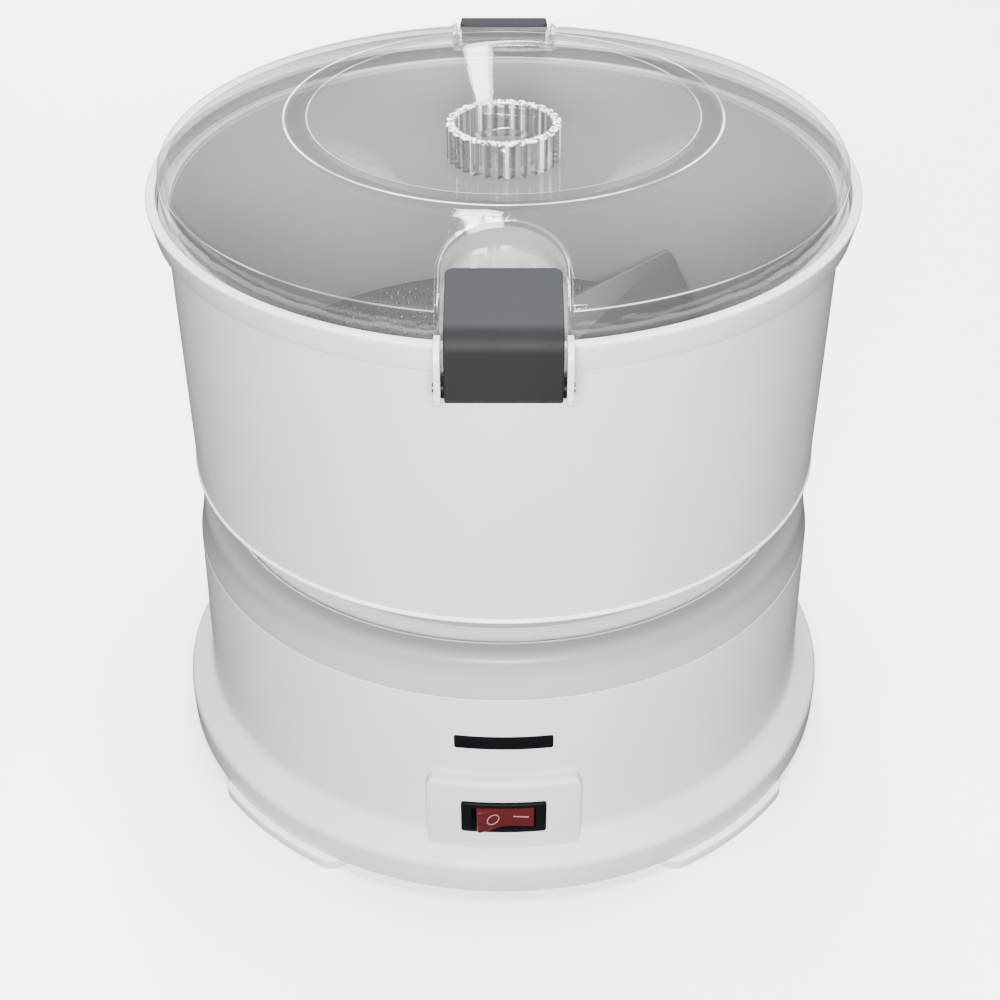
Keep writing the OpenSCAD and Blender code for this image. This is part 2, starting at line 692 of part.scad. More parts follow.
module chassis_plate() {
    color("silver") difference() {
        translate([0, 0, chassis_z]) cylinder(r = chassis_r, h = chassis_t);
        translate([0, 0, chassis_z - 1]) cylinder(r = tube_r + free_gap, h = chassis_t + 2);
        translate([motor_x, 0, chassis_z - 1]) cylinder(r = pinion_flange_r + 1, h = chassis_t + 2);
        at_angles(posts, post_r) translate([0, 0, chassis_z - 1]) cylinder(r = screw_r + hole_gap, h = chassis_t + 2, $fn = 48);
        at_angles(tube_lugs, tube_flange_r - 5) translate([0, 0, chassis_z - 1])
            cylinder(r = screw_r + hole_gap, h = chassis_t + 2, $fn = 48);
        translate([motor_x, 0, 0]) at_angles([0, 90, 180, 270], pillar_at) translate([0, 0, chassis_z - 1])
            cylinder(r = screw_r + hole_gap, h = chassis_t + 2, $fn = 48);
        // Notch behind the switch
        translate([-switch_half_w - 4, -chassis_r - 2, chassis_z - 1])
            cube([2 * switch_half_w + 8, chassis_r + 8 - box_face_r + switch_d, chassis_t + 2]);
        // Opening for air from the bottom plate
        for (a = [140, 180, 220]) rotate([0, 0, a]) translate([tube_flange_r + 9, 0, chassis_z - 1])
            cylinder(r = 6, h = chassis_t + 2);
    }
}

tube_top = tower_top - 12.4;

module bearing_tube() {
    color("darkgray") difference() {
        union() {
            translate([0, 0, chassis_z]) cylinder(r = tube_r, h = tube_top - chassis_z);
            translate([0, 0, chassis_top]) cylinder(r = tube_flange_r, h = tube_flange_t);
            translate([0, 0, chassis_top + tube_flange_t - e]) rotate_extrude()
                polygon([[tube_r - 1, 0], [tube_r + 5, 0], [tube_r - 0.1, 9], [tube_r - 1, 9]]);
        }
        translate([0, 0, chassis_z - 1]) cylinder(r = bush_r, h = bush_h + 1);
        translate([0, 0, tube_top - bush_h]) cylinder(r = bush_r, h = bush_h + 1);
        translate([0, 0, chassis_z - 1]) cylinder(r = spindle_r + 1, h = tube_top);
        at_angles(tube_lugs, tube_flange_r - 5) translate([0, 0, chassis_z]) cylinder(r = screw_r + hole_gap, h = 12, $fn = 48);
    }
}

module bush(z) {
    color("peru") translate([0, 0, z]) ring(bush_r, spindle_r + run_gap, bush_h);
}

module upper_bush() {
    bush(tube_top - bush_h);
}

module lower_bush() {
    bush(chassis_z);
}

module shaft_seal() {
    seal_z = tube_top + 3.4;
    color("dimgray") translate([0, 0, seal_z]) rotate_extrude() polygon([[spindle_r + 0.1, 1.6], [spindle_r + 1.6, 0],
        [tower_in - 0.06, 0], [tower_in - 0.06, 6.4], [spindle_r + 1.8, 6.4], [spindle_r + 1.2, 3], [spindle_r + 0.1, 2.2]]);
}

module tube_screws() {
    color("lightslategray") at_angles(tube_lugs, tube_flange_r - 5)
        translate([0, 0, chassis_top + tube_flange_t]) rotate([180, 0, 0]) screw_up(tube_flange_t + chassis_t);
}

module deck_screws() {
    color("lightslategray") at_angles(deck_lugs, lug_screw_r) translate([0, 0, lug_z - 4]) screw_up(14);
}

module chassis_screws() {
    color("lightslategray") at_angles(posts, post_r) translate([0, 0, chassis_z]) screw_up(14);
}

module bottom_screws() {
    color("lightslategray") at_angles(bottom_lugs, bottom_screw_r) translate([0, 0, foot_h + 1]) scale(1)
        screw_seat();
}

// A bottom screw, its head sunk in the plate's counterbore
module screw_seat() {
    difference() {
        translate([0, 0, -0.9]) cylinder(r = head_r, h = 0.9, $fn = 48);
        translate([-0.5, -head_r + 0.8, -1]) cube([1, 2 * head_r - 1.6, 0.6]);
    }
    cylinder(r = screw_r, h = 9, $fn = 48);
}

// ---- Motor, fixed parts ----

corner_angles = [45, 135, 225, 315];
// Radius on which the brackets' air holes lie
hole_ring = (bearing_r + 2.4 + pillar_at) / 2 - 0.6;

module motor_lower_bracket() {
    color("silver") translate([motor_x, 0, chassis_top]) difference() {
        union() {
            cylinder(r = stator_r, h = bracket_t);
            cylinder(r = bearing_r + 2.4, h = bearing_h + bracket_t + 3);
            at_angles(corner_angles, pillar_at) cylinder(r = pillar_r, h = stack_z - chassis_top, $fn = 48);
        }
        translate([0, 0, bracket_t + 3]) cylinder(r = bearing_r + 0.02, h = bearing_h + 1);
        translate([0, 0, -1]) cylinder(r = shaft_r + 1.5, h = 20);
        at_angles(corner_angles, pillar_at) translate([0, 0, bracket_t + 2]) cylinder(r = 1.6, h = 20, $fn = 48);
        at_angles([0, 90, 180, 270], pillar_at) translate([0, 0, -1]) cylinder(r = screw_r + hole_gap, h = 9, $fn = 48);
        at_angles([22.5:45:337.5], hole_ring) translate([0, 0, -1]) cylinder(r = hole_ring * 0.21, h = 9, $fn = 48);
    }
}

module motor_upper_bracket() {
    color("silver") translate([motor_x, 0, 0]) difference() {
        union() {
            translate([0, 0, upper_z]) cylinder(r = stator_r, h = bracket_t);
            translate([0, 0, upper_z]) cylinder(r = bearing_r + 2.4, h = bearing_h + 0.8);
            at_angles(corner_angles, pillar_at) translate([0, 0, stack_top])
                cylinder(r = pillar_r, h = upper_z - stack_top + 1, $fn = 48);
        }
        translate([0, 0, upper_z - 1]) cylinder(r = bearing_r + 0.02, h = bearing_h + 1);
        translate([0, 0, upper_z]) cylinder(r = shaft_r + 1.5, h = 20);
        at_angles(corner_angles, pillar_at) translate([0, 0, stack_top - 1]) cylinder(r = 1.6, h = 40, $fn = 48);
        at_angles([0:45:315], hole_ring) translate([0, 0, upper_z - 1]) cylinder(r = hole_ring * 0.25, h = 9, $fn = 48);
    }
}

module stator() {
    color("slategray") translate([motor_x, 0, stack_z]) difference() {
        cylinder(r = stator_r, h = stack_h);
        translate([0, 0, -1]) cylinder(r = rotor_r + air_gap, h = stack_h + 2);
        at_angles(corner_angles, pillar_at) translate([0, 0, -1]) cylinder(r = 1.6, h = stack_h + 2, $fn = 48);
        for (a = [0:15:345]) rotate([0, 0, a]) translate([rotor_r + 3, -1.2, -1]) cube([8, 2.4, stack_h + 2]);
        for (a = [0, 90, 180, 270]) rotate([0, 0, a]) translate([stator_r - 1.2, -3, -1]) cube([3, 6, stack_h + 2]);
    }
}

module windings() {
    color("peru") translate([motor_x, 0, 0]) {
        for (z = [stack_z - coil_h, stack_top]) translate([0, 0, z]) rotate_extrude() polygon(
            [[rotor_r + 4, 0], [rotor_r + 10, 0], [rotor_r + 11, 1.6], [rotor_r + 11, coil_h - 1.6],
            [rotor_r + 10, coil_h], [rotor_r + 4, coil_h], [rotor_r + 3, coil_h - 1.6], [rotor_r + 3, 1.6]]);
        for (a = [0:15:345]) rotate([0, 0, a]) translate([rotor_r + 3.4, -1, stack_z - 1]) cube([7, 2, stack_h + 2]);
    }
}

module motor_bearings() {
    color("lightgray") translate([motor_x, 0, 0]) {
        translate([0, 0, chassis_top + bracket_t + 3]) ring(bearing_r, shaft_r + run_gap, bearing_h);
        translate([0, 0, upper_z]) ring(bearing_r, shaft_r + run_gap, bearing_h);
    }
}

module motor_bolts() {
    color("lightslategray") translate([motor_x, 0, 0]) at_angles(corner_angles, pillar_at) {
        translate([0, 0, chassis_top + bracket_t + 3]) cylinder(r = 1.5, h = upper_z - chassis_top, $fn = 48);
        translate([0, 0, upper_z + bracket_t]) cylinder(r = 2.8, h = 2.2, $fn = 48);
    }
}

module motor_screws() {
    color("lightslategray") translate([motor_x, 0, chassis_top + bracket_t]) at_angles([0, 90, 180, 270], pillar_at)
        rotate([180, 0, 0]) screw_up(bracket_t + chassis_t);
}

module drive_belt() {
    low = belt_z + (pulley_h - belt_w) / 2;
    color("black") translate([0, 0, low]) linear_extrude(belt_w) difference() {
        hull() {
            circle(r = pulley_r + free_gap + belt_t, $fn = 120);
            translate([motor_x, 0]) circle(r = pinion_r + free_gap + belt_t, $fn = 48);
        }
        hull() {
            circle(r = pulley_r + free_gap, $fn = 120);
            translate([motor_x, 0]) circle(r = pinion_r + free_gap, $fn = 48);
        }
    }
}

// ---- Electrical parts ----

module capacitor() {
    color("lightsteelblue") translate([-cap_x, 0, chassis_top]) {
        rotate_extrude() polygon([[0, 0], [cap_r, 0], [cap_r, cap_h - 1], [cap_r - 1, cap_h], [0, cap_h]]);
        for (y = [-5, 5]) translate([-0.4, y - 3, cap_h - e]) cube([0.8, 6, 8]);
    }
}

module capacitor_strap() {
    in = cap_r + 0.15;
    color("lightgray") translate([-cap_x, 0, chassis_top]) {
        difference() {
            union() {
                translate([0, 0, 12]) cylinder(r = in + 1, h = 8);
                translate([cap_r - 2, -4, 0]) cube([4.2, 8, 20]);
                translate([cap_r, -4, 0]) cube([12, 8, 1.2]);
            }
            translate([0, 0, -1]) cylinder(r = in, h = 30);
        }
    }
}

// Places of the block's three ways, from its middle
ways = [-block_w / 3, 0, block_w / 3];

module terminal_block() {
    color("ivory") translate([0, block_y, chassis_top]) difference() {
        translate([-block_w / 2, -block_d / 2, 0]) cube([block_w, block_d, block_h]);
        for (x = ways) translate([x, 0, block_h / 2]) rotate([90, 0, 0])
            translate([0, 0, -block_d / 2 - 1]) cylinder(r = lead_r + 0.7, h = block_d + 2, $fn = 32);
        for (x = ways) for (y = [-1, 1]) translate([x, y * block_d * 0.26, block_h / 2 + 1])
            cylinder(r = lead_r + 0.4, h = block_h / 2, $fn = 32);
        for (x = [-1, 1]) translate([x * block_w / 6 - 0.6, -block_d / 2 - 1, block_h * 0.66])
            cube([1.2, block_d + 2, block_h]);
    }
}

inlet_out = drum_foot_r + (drum_top_r - drum_foot_r) * (inlet_z - cone_top_z) / drum_h;

// The inlet's flange clears the drum's curve by this much at its middle
inlet_stand = 0.7;

module cord_inlet() {
    color("gray") translate([0, inlet_out + inlet_stand, inlet_z]) rotate([90, 0, 0]) difference() {
        union() {
            translate([0, 0, -1.6]) cylinder(r = inlet_flange_r, h = 1.6);
            cylinder(r = inlet_r, h = 13);
            translate([0, 0, -2.4]) cylinder(r = inlet_flange_r - 2, h = 2.4);
        }
        translate([0, 0, -9]) cylinder(r = cord_bore_r, h = 30);
    }
}

module inlet_nut() {
    color("gray") translate([0, inlet_out - wall - 0.6, inlet_z]) rotate([90, 0, 0]) difference() {
        cylinder(r = inlet_r + 3, h = 4.4, $fn = 6);
        translate([0, 0, -1]) cylinder(r = inlet_r + hole_gap, h = 7);
    }
}

module cord_clamp() {
    color("ivory") translate([0, block_y + block_d / 2 + 8, chassis_top]) difference() {
        union() {
            translate([-14, -4, 0]) cube([28, 8, 2]);
            translate([0, 4, 2]) rotate([90, 0, 0]) cylinder(r = 6.2, h = 8);
        }
        translate([0, 5, 4.4]) rotate([90, 0, 0]) cylinder(r = 3.4, h = 10);
        translate([-8, -6, -10]) cube([16, 12, 10]);
        for (x = [-10.5, 10.5]) translate([x, 0, -1]) cylinder(r = 1.7, h = 5, $fn = 32);
    }
}

module switch_frame() {
    cav = rocker_half + 1.2;
    color([0.12, 0.12, 0.13]) difference() {
        union() {
            intersection() {
                translate([0, 0, switch_z - bezel_h]) ring(box_face_r + bezel_t, box_face_r + 0.05, 2 * bezel_h);
                translate([0, -foot_r, switch_z]) face_block(bezel_w, bezel_h, foot_r, 1.2);
            }
            intersection() {
                translate([-switch_half_w, -box_face_r - 0.4, switch_z - switch_half_h])
                    cube([2 * switch_half_w, switch_d, 2 * switch_half_h]);
                translate([0, 0, switch_z - bezel_h]) cylinder(r = box_face_r + 0.2, h = 2 * bezel_h);
            }
        }
        // Cavity round the rocker, closed at its back
        translate([-cav, -foot_r, switch_z - rocker_h / 2 - free_gap])
            cube([2 * cav, foot_r - box_face_r + switch_d - 2, rocker_h + 2 * free_gap]);
        translate([0, pivot_y, switch_z - rocker_h / 2 - free_gap - 0.6])
            cylinder(r = pivot_r + run_gap, h = rocker_h + 2 * free_gap + 1.2, $fn = 48);
    }
}

module switch_contacts() {
    back = -box_face_r - 0.4 + switch_d;
    color("gold") for (x = [-8, 0, 8]) translate([x - 0.4, back, switch_z - 2.4]) cube([0.8, 7, 4.8]);
}

// One lead: straight eight-sided runs that overlap at the corners
module lead(points) {
    last = len(points) - 2;
    for (i = [0:last]) {
        a = points[i];
        d = points[i + 1] - a;
        n = norm(d);
        before = i == 0 ? 0 : lead_r * 0.6;
        after = i == last ? 0 : lead_r * 0.6;
        translate(a) rotate([0, acos(d[2] / n), atan2(d[1], d[0])]) translate([0, 0, -before])
            cylinder(r = lead_r, h = n + before + after, $fn = 8);
    }
}

module internal_leads() {
    z = chassis_top + block_h / 2;
    far = tube_flange_r + 6;
    y_block = block_y - block_d / 2 - 0.4;
    y_switch = -box_face_r + switch_d + 7;
    color("saddlebrown") {
        lead([[ways[0], y_block, z], [ways[0], y_block - 14, z], [-far, far, z], [-far, -far, z],
            [-8, y_switch + 12, z], [-8, y_switch, z]]);
        lead([[0, y_switch, z], [0, y_switch + 10, z], [20, -far - 6, z],
            [motor_x - stator_r - 3, -20, z + 4], [motor_x - rotor_r - 14, -12, stack_z - coil_h - 1.8]]);
        lead([[ways[2], y_block, z], [ways[2], y_block - 14, z], [motor_x - stator_r - 3, 22, z + 4],
            [motor_x - rotor_r - 14, 12, stack_z - coil_h - 1.8]]);
        lead([[0, y_block, z], [0, y_block - 6, z + 5], [-30, far + 14, z + 9], [-cap_x + 8, cap_r + 10, z + 20],
            [-cap_x + 8, 12, chassis_top + cap_h + 9], [-cap_x + 3.2, 5, chassis_top + cap_h + 5]]);
    }
}

// ---- Rocker ----

module rocker_shape(h) {
    far = rocker_half;
    linear_extrude(h) polygon([[-far, -rocker_wing + 0.8], [-far + 1, -rocker_wing], [0, -rocker_dip],
        [far - 1, -rocker_wing], [far, -rocker_wing + 0.8], [far + 0.15, -1.5], [far - 0.6, 2],
        [3.4, 5], [1.6, 11], [-1.6, 11], [-3.4, 5], [-far + 0.6, 2], [-far - 0.15, -1.5]]);
}

module rocker() {
    color([0.62, 0.14, 0.17]) translate([0, pivot_y, switch_z]) rotate([0, 0, rocker_throw / 2]) {
        translate([0, 0, -rocker_h / 2]) rocker_shape(rocker_h);
        translate([0, 0, -rocker_h / 2 - free_gap - 0.4])
            cylinder(r = pivot_r, h = rocker_h + 2 * free_gap + 0.8, $fn = 48);
    }
}

// The usual signs for off and on, a ring and a bar, laid on the rocker's two wings
module rocker_marks() {
    rise = (rocker_wing - rocker_dip) / (rocker_half - 1);
    lean = atan(rise);
    ring_x = 4.7;
    bar_x = 5.6;
    color("pink") translate([0, pivot_y, switch_z]) rotate([0, 0, rocker_throw / 2]) {
        translate([-ring_x, -rocker_dip - rise * ring_x - 0.02, 0]) rotate([90, 0, lean]) ring(2.5, 2, 0.15);
        translate([bar_x, -rocker_dip - rise * bar_x - 0.02, 0]) rotate([90, 0, -lean])
            translate([-2.8, -0.25, 0]) cube([5.6, 0.5, 0.15]);
    }
}

// ---- Rotor ----

module motor_shaft() {
    color("lightgray") translate([motor_x, 0, hub_low_z]) cylinder(r = shaft_r, h = upper_z + bearing_h - 0.4 - hub_low_z);
}

module rotor_core() {
    color("slategray") translate([motor_x, 0, stack_z]) difference() {
        union() {
            cylinder(r = rotor_r, h = stack_h);
            translate([0, 0, -2]) cylinder(r = rotor_r - 2, h = stack_h + 4);
        }
        translate([0, 0, -3]) cylinder(r = shaft_r, h = stack_h + 6);
        at_angles([0:45:315], (shaft_r + rotor_r - 2) / 2) translate([0, 0, -3])
            cylinder(r = (rotor_r - shaft_r) * 0.13, h = stack_h + 6, $fn = 48);
    }
}

module motor_pulley() {
    color("lightgray") translate([motor_x, 0, 0]) difference() {
        union() {
            translate([0, 0, hub_low_z]) cylinder(r = pinion_flange_r, h = 1);
            translate([0, 0, belt_z - e]) cylinder(r = pinion_r, h = pulley_h + 2 * e);
            translate([0, 0, pulley_top]) cylinder(r = pinion_flange_r, h = 1);
        }
        translate([0, 0, hub_low_z - 1]) cylinder(r = shaft_r, h = pulley_h + 6);
    }
}

module cooling_fan() {
    color("black") translate([motor_x, 0, fan_z]) difference() {
        union() {
            cylinder(r = fan_r, h = 1.2);
            cylinder(r = shaft_r + 4, h = fan_h);
            for (i = [0:blade_count - 1]) rotate([0, 0, i * 360 / blade_count]) translate([shaft_r + 5, -0.6, 0])
                rotate([0, 0, 14]) cube([fan_r - shaft_r - 8, 1.2, fan_h]);
        }
        translate([0, 0, -1]) cylinder(r = shaft_r, h = fan_h + 2);
        at_angles([0:60:300], fan_r * 0.4) translate([0, 0, -1]) cylinder(r = fan_r * 0.09, h = 2.4, $fn = 48);
    }
}

// ---- Spindle ----

module spindle() {
    hex_r = hex_af / 2 / cos(30);
    color("lightgray") {
        difference() {
            translate([0, 0, nut_z - 0.6]) cylinder(r = spindle_r, h = hex_z - nut_z + 0.6);
            translate([0, 0, nut_z - 1]) ring(spindle_r + 2, spindle_r - 1, hub_low_z - nut_z + 0.9);
            translate([0, 0, tube_top + 1]) ring(spindle_r + 2, spindle_r - 0.8, 1.2);
        }
        translate([0, 0, hex_z - e]) cylinder(r = hex_r, h = hex_h, $fn = 6);
    }
}

module large_pulley() {
    pitch = pulley_h / rib_count;
    ribs = [for (i = [0:rib_count - 1]) for (p = [[pulley_r - 1, 0.5], [pulley_r, 0.8]])
        [p[0], belt_z + (i + p[1] - 0.4) * pitch]];
    color("darkslategray") difference() {
        union() {
            rotate_extrude() polygon(concat([[pulley_r - 5, belt_z], [pulley_r, belt_z]], ribs,
                [[pulley_r, pulley_top], [pulley_r - 5, pulley_top], [pulley_r - 5, belt_z + 7],
                [tube_r, belt_z + 7], [tube_r, washer_z], [spindle_r, washer_z], [spindle_r, hub_low_z],
                [tube_r, hub_low_z], [tube_r, belt_z + 4], [pulley_r - 5, belt_z + 4]]));
            for (a = [0:60:300]) rotate([0, 0, a]) translate([tube_r - 1, -1.2, belt_z + 2]) cube([pulley_r - tube_r - 3, 2.4, 8]);
        }
        at_angles([30:60:330], (pulley_r - 5 + tube_r) / 2 + 1) translate([0, 0, belt_z - 2])
            cylinder(r = (pulley_r - 5 - tube_r) * 0.27, h = pulley_h + 8);
    }
}

module pulley_nut() {
    color("lightslategray") translate([0, 0, nut_z]) difference() {
        cylinder(r = nut_af / 2 / cos(30), h = nut_h - 0.1, $fn = 6);
        translate([0, 0, -1]) cylinder(r = spindle_r - 1 + 0.02, h = nut_h + 2);
    }
}

module thrust_washer() {
    color("lightgray") translate([0, 0, washer_z + 0.1]) ring(tube_r - 1, spindle_r + 0.02, 1.3);
}

module spindle_circlip() {
    color("lightslategray") translate([0, 0, tube_top + 1.1]) difference() {
        ring(spindle_r + 2.4, spindle_r - 0.7, 1);
        translate([0, -1.5, -1]) cube([20, 3, 3]);
    }
}

// ---- Peeling disc ----

// A ridge: a crest that climbs outward, gentle on one side and steep on the other
module ridge() {
    reach = sqrt(pow(disc_r - 1, 2) - pow(ridge_offset, 2));
    inner = 16;
    translate([0, ridge_offset, disc_top - e]) intersection() {
        translate([inner, 0, 0]) rotate([90, 0, 90]) linear_extrude(reach)
            polygon([[-ridge_run, 0], [-1.2, ridge_h - 1.4], [0, ridge_h], [1.2, ridge_h - 1.4], [ridge_back, 0]]);
        translate([0, 60, 0]) rotate([90, 0, 0]) linear_extrude(120)
            polygon([[inner, 0], [reach + 4, 0], [reach + 4, ridge_h], [reach - 6, ridge_h],
                [inner + 4, ridge_low], [inner, ridge_low - 3]]);
    }
}

module disc() {
    color([0.33, 0.34, 0.36]) difference() {
        union() {
            rotate_extrude() polygon([[hub_bore, disc_z - 2], [hub_r, disc_z - 2], [hub_r, disc_z],
                [disc_r - 3, disc_z], [disc_r - 3, disc_top - disc_t - disc_rim_h + 2], [disc_r, disc_top - disc_t - disc_rim_h + 2],
                [disc_r, disc_top - 1], [disc_r - 1, disc_top], [hub_r + 2, disc_top], [hub_r, disc_top + 2],
                [hub_r - 1, hub_top - 4], [hub_bore - 1, hub_top - 4], [hub_bore, disc_top]]);
            intersection() {
                for (i = [0:ridge_count - 1]) rotate([0, 0, ridge_angle + i * 360 / ridge_count]) ridge();
                translate([0, 0, disc_z]) ring(disc_r - 1, hub_r, ridge_h + 10);
            }
            translate([0, 0, socket_z]) cylinder(r = hub_bore, h = web_h);
        }
        translate([0, 0, socket_z - 1]) cylinder(r = (hex_af / 2 + 0.2) / cos(30), h = web_h + 2, $fn = 6);
    }
}

module grit_plates() {
    color([0.45, 0.45, 0.47]) difference() {
        translate([0, 0, disc_top + 0.02]) ring(disc_r - 3, hub_r + 5, grit_t);
        for (i = [0:ridge_count - 1]) rotate([0, 0, ridge_angle + i * 360 / ridge_count])
            translate([-14, ridge_offset - ridge_run - 1.5, disc_z]) cube([160, ridge_run + ridge_back + 3, 20]);
    }
}

module disc_hub_cap() {
    color([0.25, 0.26, 0.28]) difference() {
        translate([0, 0, hub_top - 3.98]) rotate_extrude() polygon(concat([[0, 0]],
            quarter(0, 0, hub_r - 1, 6, 8)));
        translate([0, 0, hub_top - 5]) cylinder(r = hub_bore - 6, h = 4);
    }
}

// ---- Bowl ----

module bowl() {
    ring_low = well_z + 0.2;
    color([0.86, 0.87, 0.88]) union() {
        rotate_extrude() polygon(concat(
            [[chimney_r, bowl_z], [bowl_low_r - bowl_round, bowl_z]],
            [for (p = quarter(0, 0, bowl_round, bowl_round * 1.3, 6)) [bowl_low_r - bowl_round + p[1] * 10 / 13,
                bowl_z + bowl_round * 1.3 - p[0] * 1.3]],
            [[bowl_top_r, bowl_top], [bowl_top_r - bowl_wall, bowl_top]],
            [[bowl_low_r - bowl_wall, floor_z + 5], [bowl_low_r - bowl_wall - 1.5, floor_z + 1.5]],
            [[bowl_low_r - bowl_wall - 5, floor_z], [chimney_r + chimney_t, floor_z]],
            [[chimney_r + chimney_t, floor_z + chimney_h], [chimney_r, floor_z + chimney_h]]));
        translate([0, 0, ring_low]) ring(ring_r, ring_r - ring_t, bowl_z - ring_low + 1);
        for (i = [0:lug_count - 1]) rotate([0, 0, i * 360 / lug_count - lug_span / 2])
            translate([0, 0, ring_low + 0.4]) sector(well_r - 0.6, ring_r - 1, lug_h - 0.2, 0, lug_span);
        // Stiffening webs between the ring and the bowl's underside
        for (a = [22.5:45:337.5]) rotate([0, 0, a]) translate([ring_r - ring_t - 14, -1, bowl_z - 5]) cube([14.5, 2, 6]);
    }
}

// One ear in the plane of the pin: an upright plate with round ends
module ear_shape() {
    low = collar_low - ear_drop;
    back = collar_in - 6;
    nose = pin_y + 3;
    translate([back, low + 3]) square([nose - back, ear_h - 7]);
    translate([back, low]) square([nose - back - 3, ear_h - 1]);
    translate([nose - 3, low + 3]) circle(r = 3, $fn = 48);
    translate([nose - 4, low + ear_h - 4]) circle(r = 4, $fn = 48);
    translate([back, low + ear_h - 4]) square([nose - back - 4, 4]);
}

module ear_pair() {
    for (x = [-1, 1]) translate([x * (ear_in + ear_t / 2) - ear_t / 2, 0, 0])
        difference() {
            rotate([90, 0, -90]) mirror([0, 0, 1]) linear_extrude(ear_t) ear_shape();
            translate([-1, -pin_y, pin_z]) rotate([0, 90, 0]) cylinder(r = pin_r + 0.01, h = ear_t + 2, $fn = 48);
        }
}

module rim_collar() {
    out_low = collar_r - collar_lean;
    color("white") difference() {
        union() {
            rotate_extrude() polygon([[collar_in, collar_low], [out_low - 0.5, collar_low], [out_low, collar_low + 0.5],
                [collar_r, collar_top - 0.8], [collar_r - 0.8, collar_top], [collar_throat + 0.4, collar_top],
                [collar_throat, collar_top - 0.4], [collar_throat, bowl_top + 0.1], [collar_in, bowl_top + 0.1]]);
            ear_pair();
            rotate([0, 0, 180]) ear_pair();
        }
        translate([0, 0, collar_low - 20]) cylinder(r = collar_in, h = 20 + bowl_top + 0.1 - collar_low);
        translate([0, 0, bowl_top]) cylinder(r = collar_throat, h = 40);
    }
}

module rim_seal() {
    color("lightgray") translate([0, 0, bowl_top]) ring(collar_throat - 0.3, bowl_top_r - bowl_wall + 0.3, seal_h - 0.1);
}

module pin() {
    half = ear_in + ear_t + 0.5;
    color("dimgray") translate([-half, -pin_y, pin_z]) rotate([0, 90, 0]) cylinder(r = pin_r, h = 2 * half, $fn = 48);
}

module front_pin() {
    pin();
}

module back_pin() {
    rotate([0, 0, 180]) pin();
}

// ---- Lid ----

// Outline of a pocket, grown by g, seen from above and open toward the rim
module pocket_outline(g) {
    far = lid_r + 4;
    translate([-pocket_half - g, -far]) square([2 * (pocket_half + g), far - pocket_mid]);
    translate([0, -pocket_mid]) circle(r = pocket_half + g);
}

// Solid under the slope surface moved by dz, between the crest and the rim
module under_slope(dz, low) {
    rotate_extrude() polygon([[crest_r, low], [lid_r, low], [lid_r, slope_z(lid_r) + dz], [crest_r, slope_z(crest_r) + dz]]);
}

module lid() {
    skirt_z = seal_top + 0.2;
    s_in = lid_r - lid_t;
    in_z = -lid_t * sqrt(1 + slope * slope);
    dish_in = dish_r - lid_t * 0.55;
    color([0.85, 0.88, 0.9, 0.4]) difference() {
        union() {
            rotate_extrude() polygon([[s_in, skirt_z], [lid_r, skirt_z], [lid_r, shoulder_z - 1], [lid_r - 1, shoulder_z + 0.3],
                [crest_r, crest_z], [crest_r - 2, crest_z + 0.4], [dish_top_r + 1.4, crest_z], [dish_top_r - 0.6, crest_z - 1],
                [dish_r, dish_z], [0, dish_z], [0, dish_z - lid_t], [dish_in, dish_z - lid_t],
                [dish_top_r - 2, crest_z - lid_t - 1.6], [dish_top_r + 1, crest_z - lid_t],
                [crest_r - 1, crest_z - lid_t], [s_in, shoulder_z + in_z]]);
            // Walls, floor and bead of the two pockets
            for (a = [0, 180]) rotate([0, 0, a]) {
                intersection() {
                    linear_extrude(crest_z + 5) pocket_outline(lid_t * 0.8);
                    difference() {
                        under_slope(e, shoulder_z - pocket_depth - lid_t - 4);
                        under_slope(-pocket_depth - lid_t, shoulder_z - pocket_depth - lid_t - 8);
                    }
                }
                intersection() {
                    linear_extrude(crest_z + 5) pocket_outline(bead_w);
                    difference() {
                        under_slope(bead_h, shoulder_z - 4);
                        under_slope(-1, shoulder_z - 8);
                    }
                }
            }
        }
        for (a = [0, 180]) rotate([0, 0, a]) difference() {
            translate([0, 0, 1]) linear_extrude(crest_z + 9) pocket_outline(0);
            rotate_extrude() polygon([[0, 0], [lid_r + 9, 0], [lid_r + 9, slope_z(lid_r + 9) - pocket_depth],
                [crest_r, slope_z(crest_r) - pocket_depth], [0, slope_z(crest_r) - pocket_depth]]);
        }
        translate([0, 0, dish_z - 9]) cylinder(r = rivet_r + hole_gap, h = 20, $fn = 48);
    }
}

module lid_knob() {
    color([0.85, 0.88, 0.9, 0.5]) translate([0, 0, dish_z]) difference() {
        cylinder(r = knob_r, h = knob_h);
        translate([0, 0, knob_floor]) cylinder(r = knob_r - knob_t, h = knob_h);
        at_angles([for (i = [0:flute_count - 1]) i * 360 / flute_count], knob_r + 0.3)
            translate([0, 0, -1]) cylinder(r = flute_r, h = knob_h + 2, $fn = 32);
        translate([0, 0, -1]) cylinder(r = rivet_r + hole_gap, h = 9, $fn = 48);
    }
}

module knob_rivet() {
    color("silver") translate([0, 0, dish_z]) {
        translate([0, 0, -lid_t - 1]) cylinder(r = rivet_r, h = lid_t + 1 + knob_floor, $fn = 48);
        translate([0, 0, -lid_t - 1.2]) cylinder(r = rivet_r + 1.8, h = 1.2, $fn = 48);
        translate([0, 0, knob_floor]) round_block(8, 4.6, 1, 2.2);
    }
}

// ---- Clips ----

// Side view of the clip's plate: upright leg, bend and sloping leg, out along the first axis
function arc(cx, cz, r, a, b, n = 10) = [for (i = [0:n]) [cx + r * cos(a + (b - a) * i / n), cz + r * sin(a + (b - a) * i / n)]];

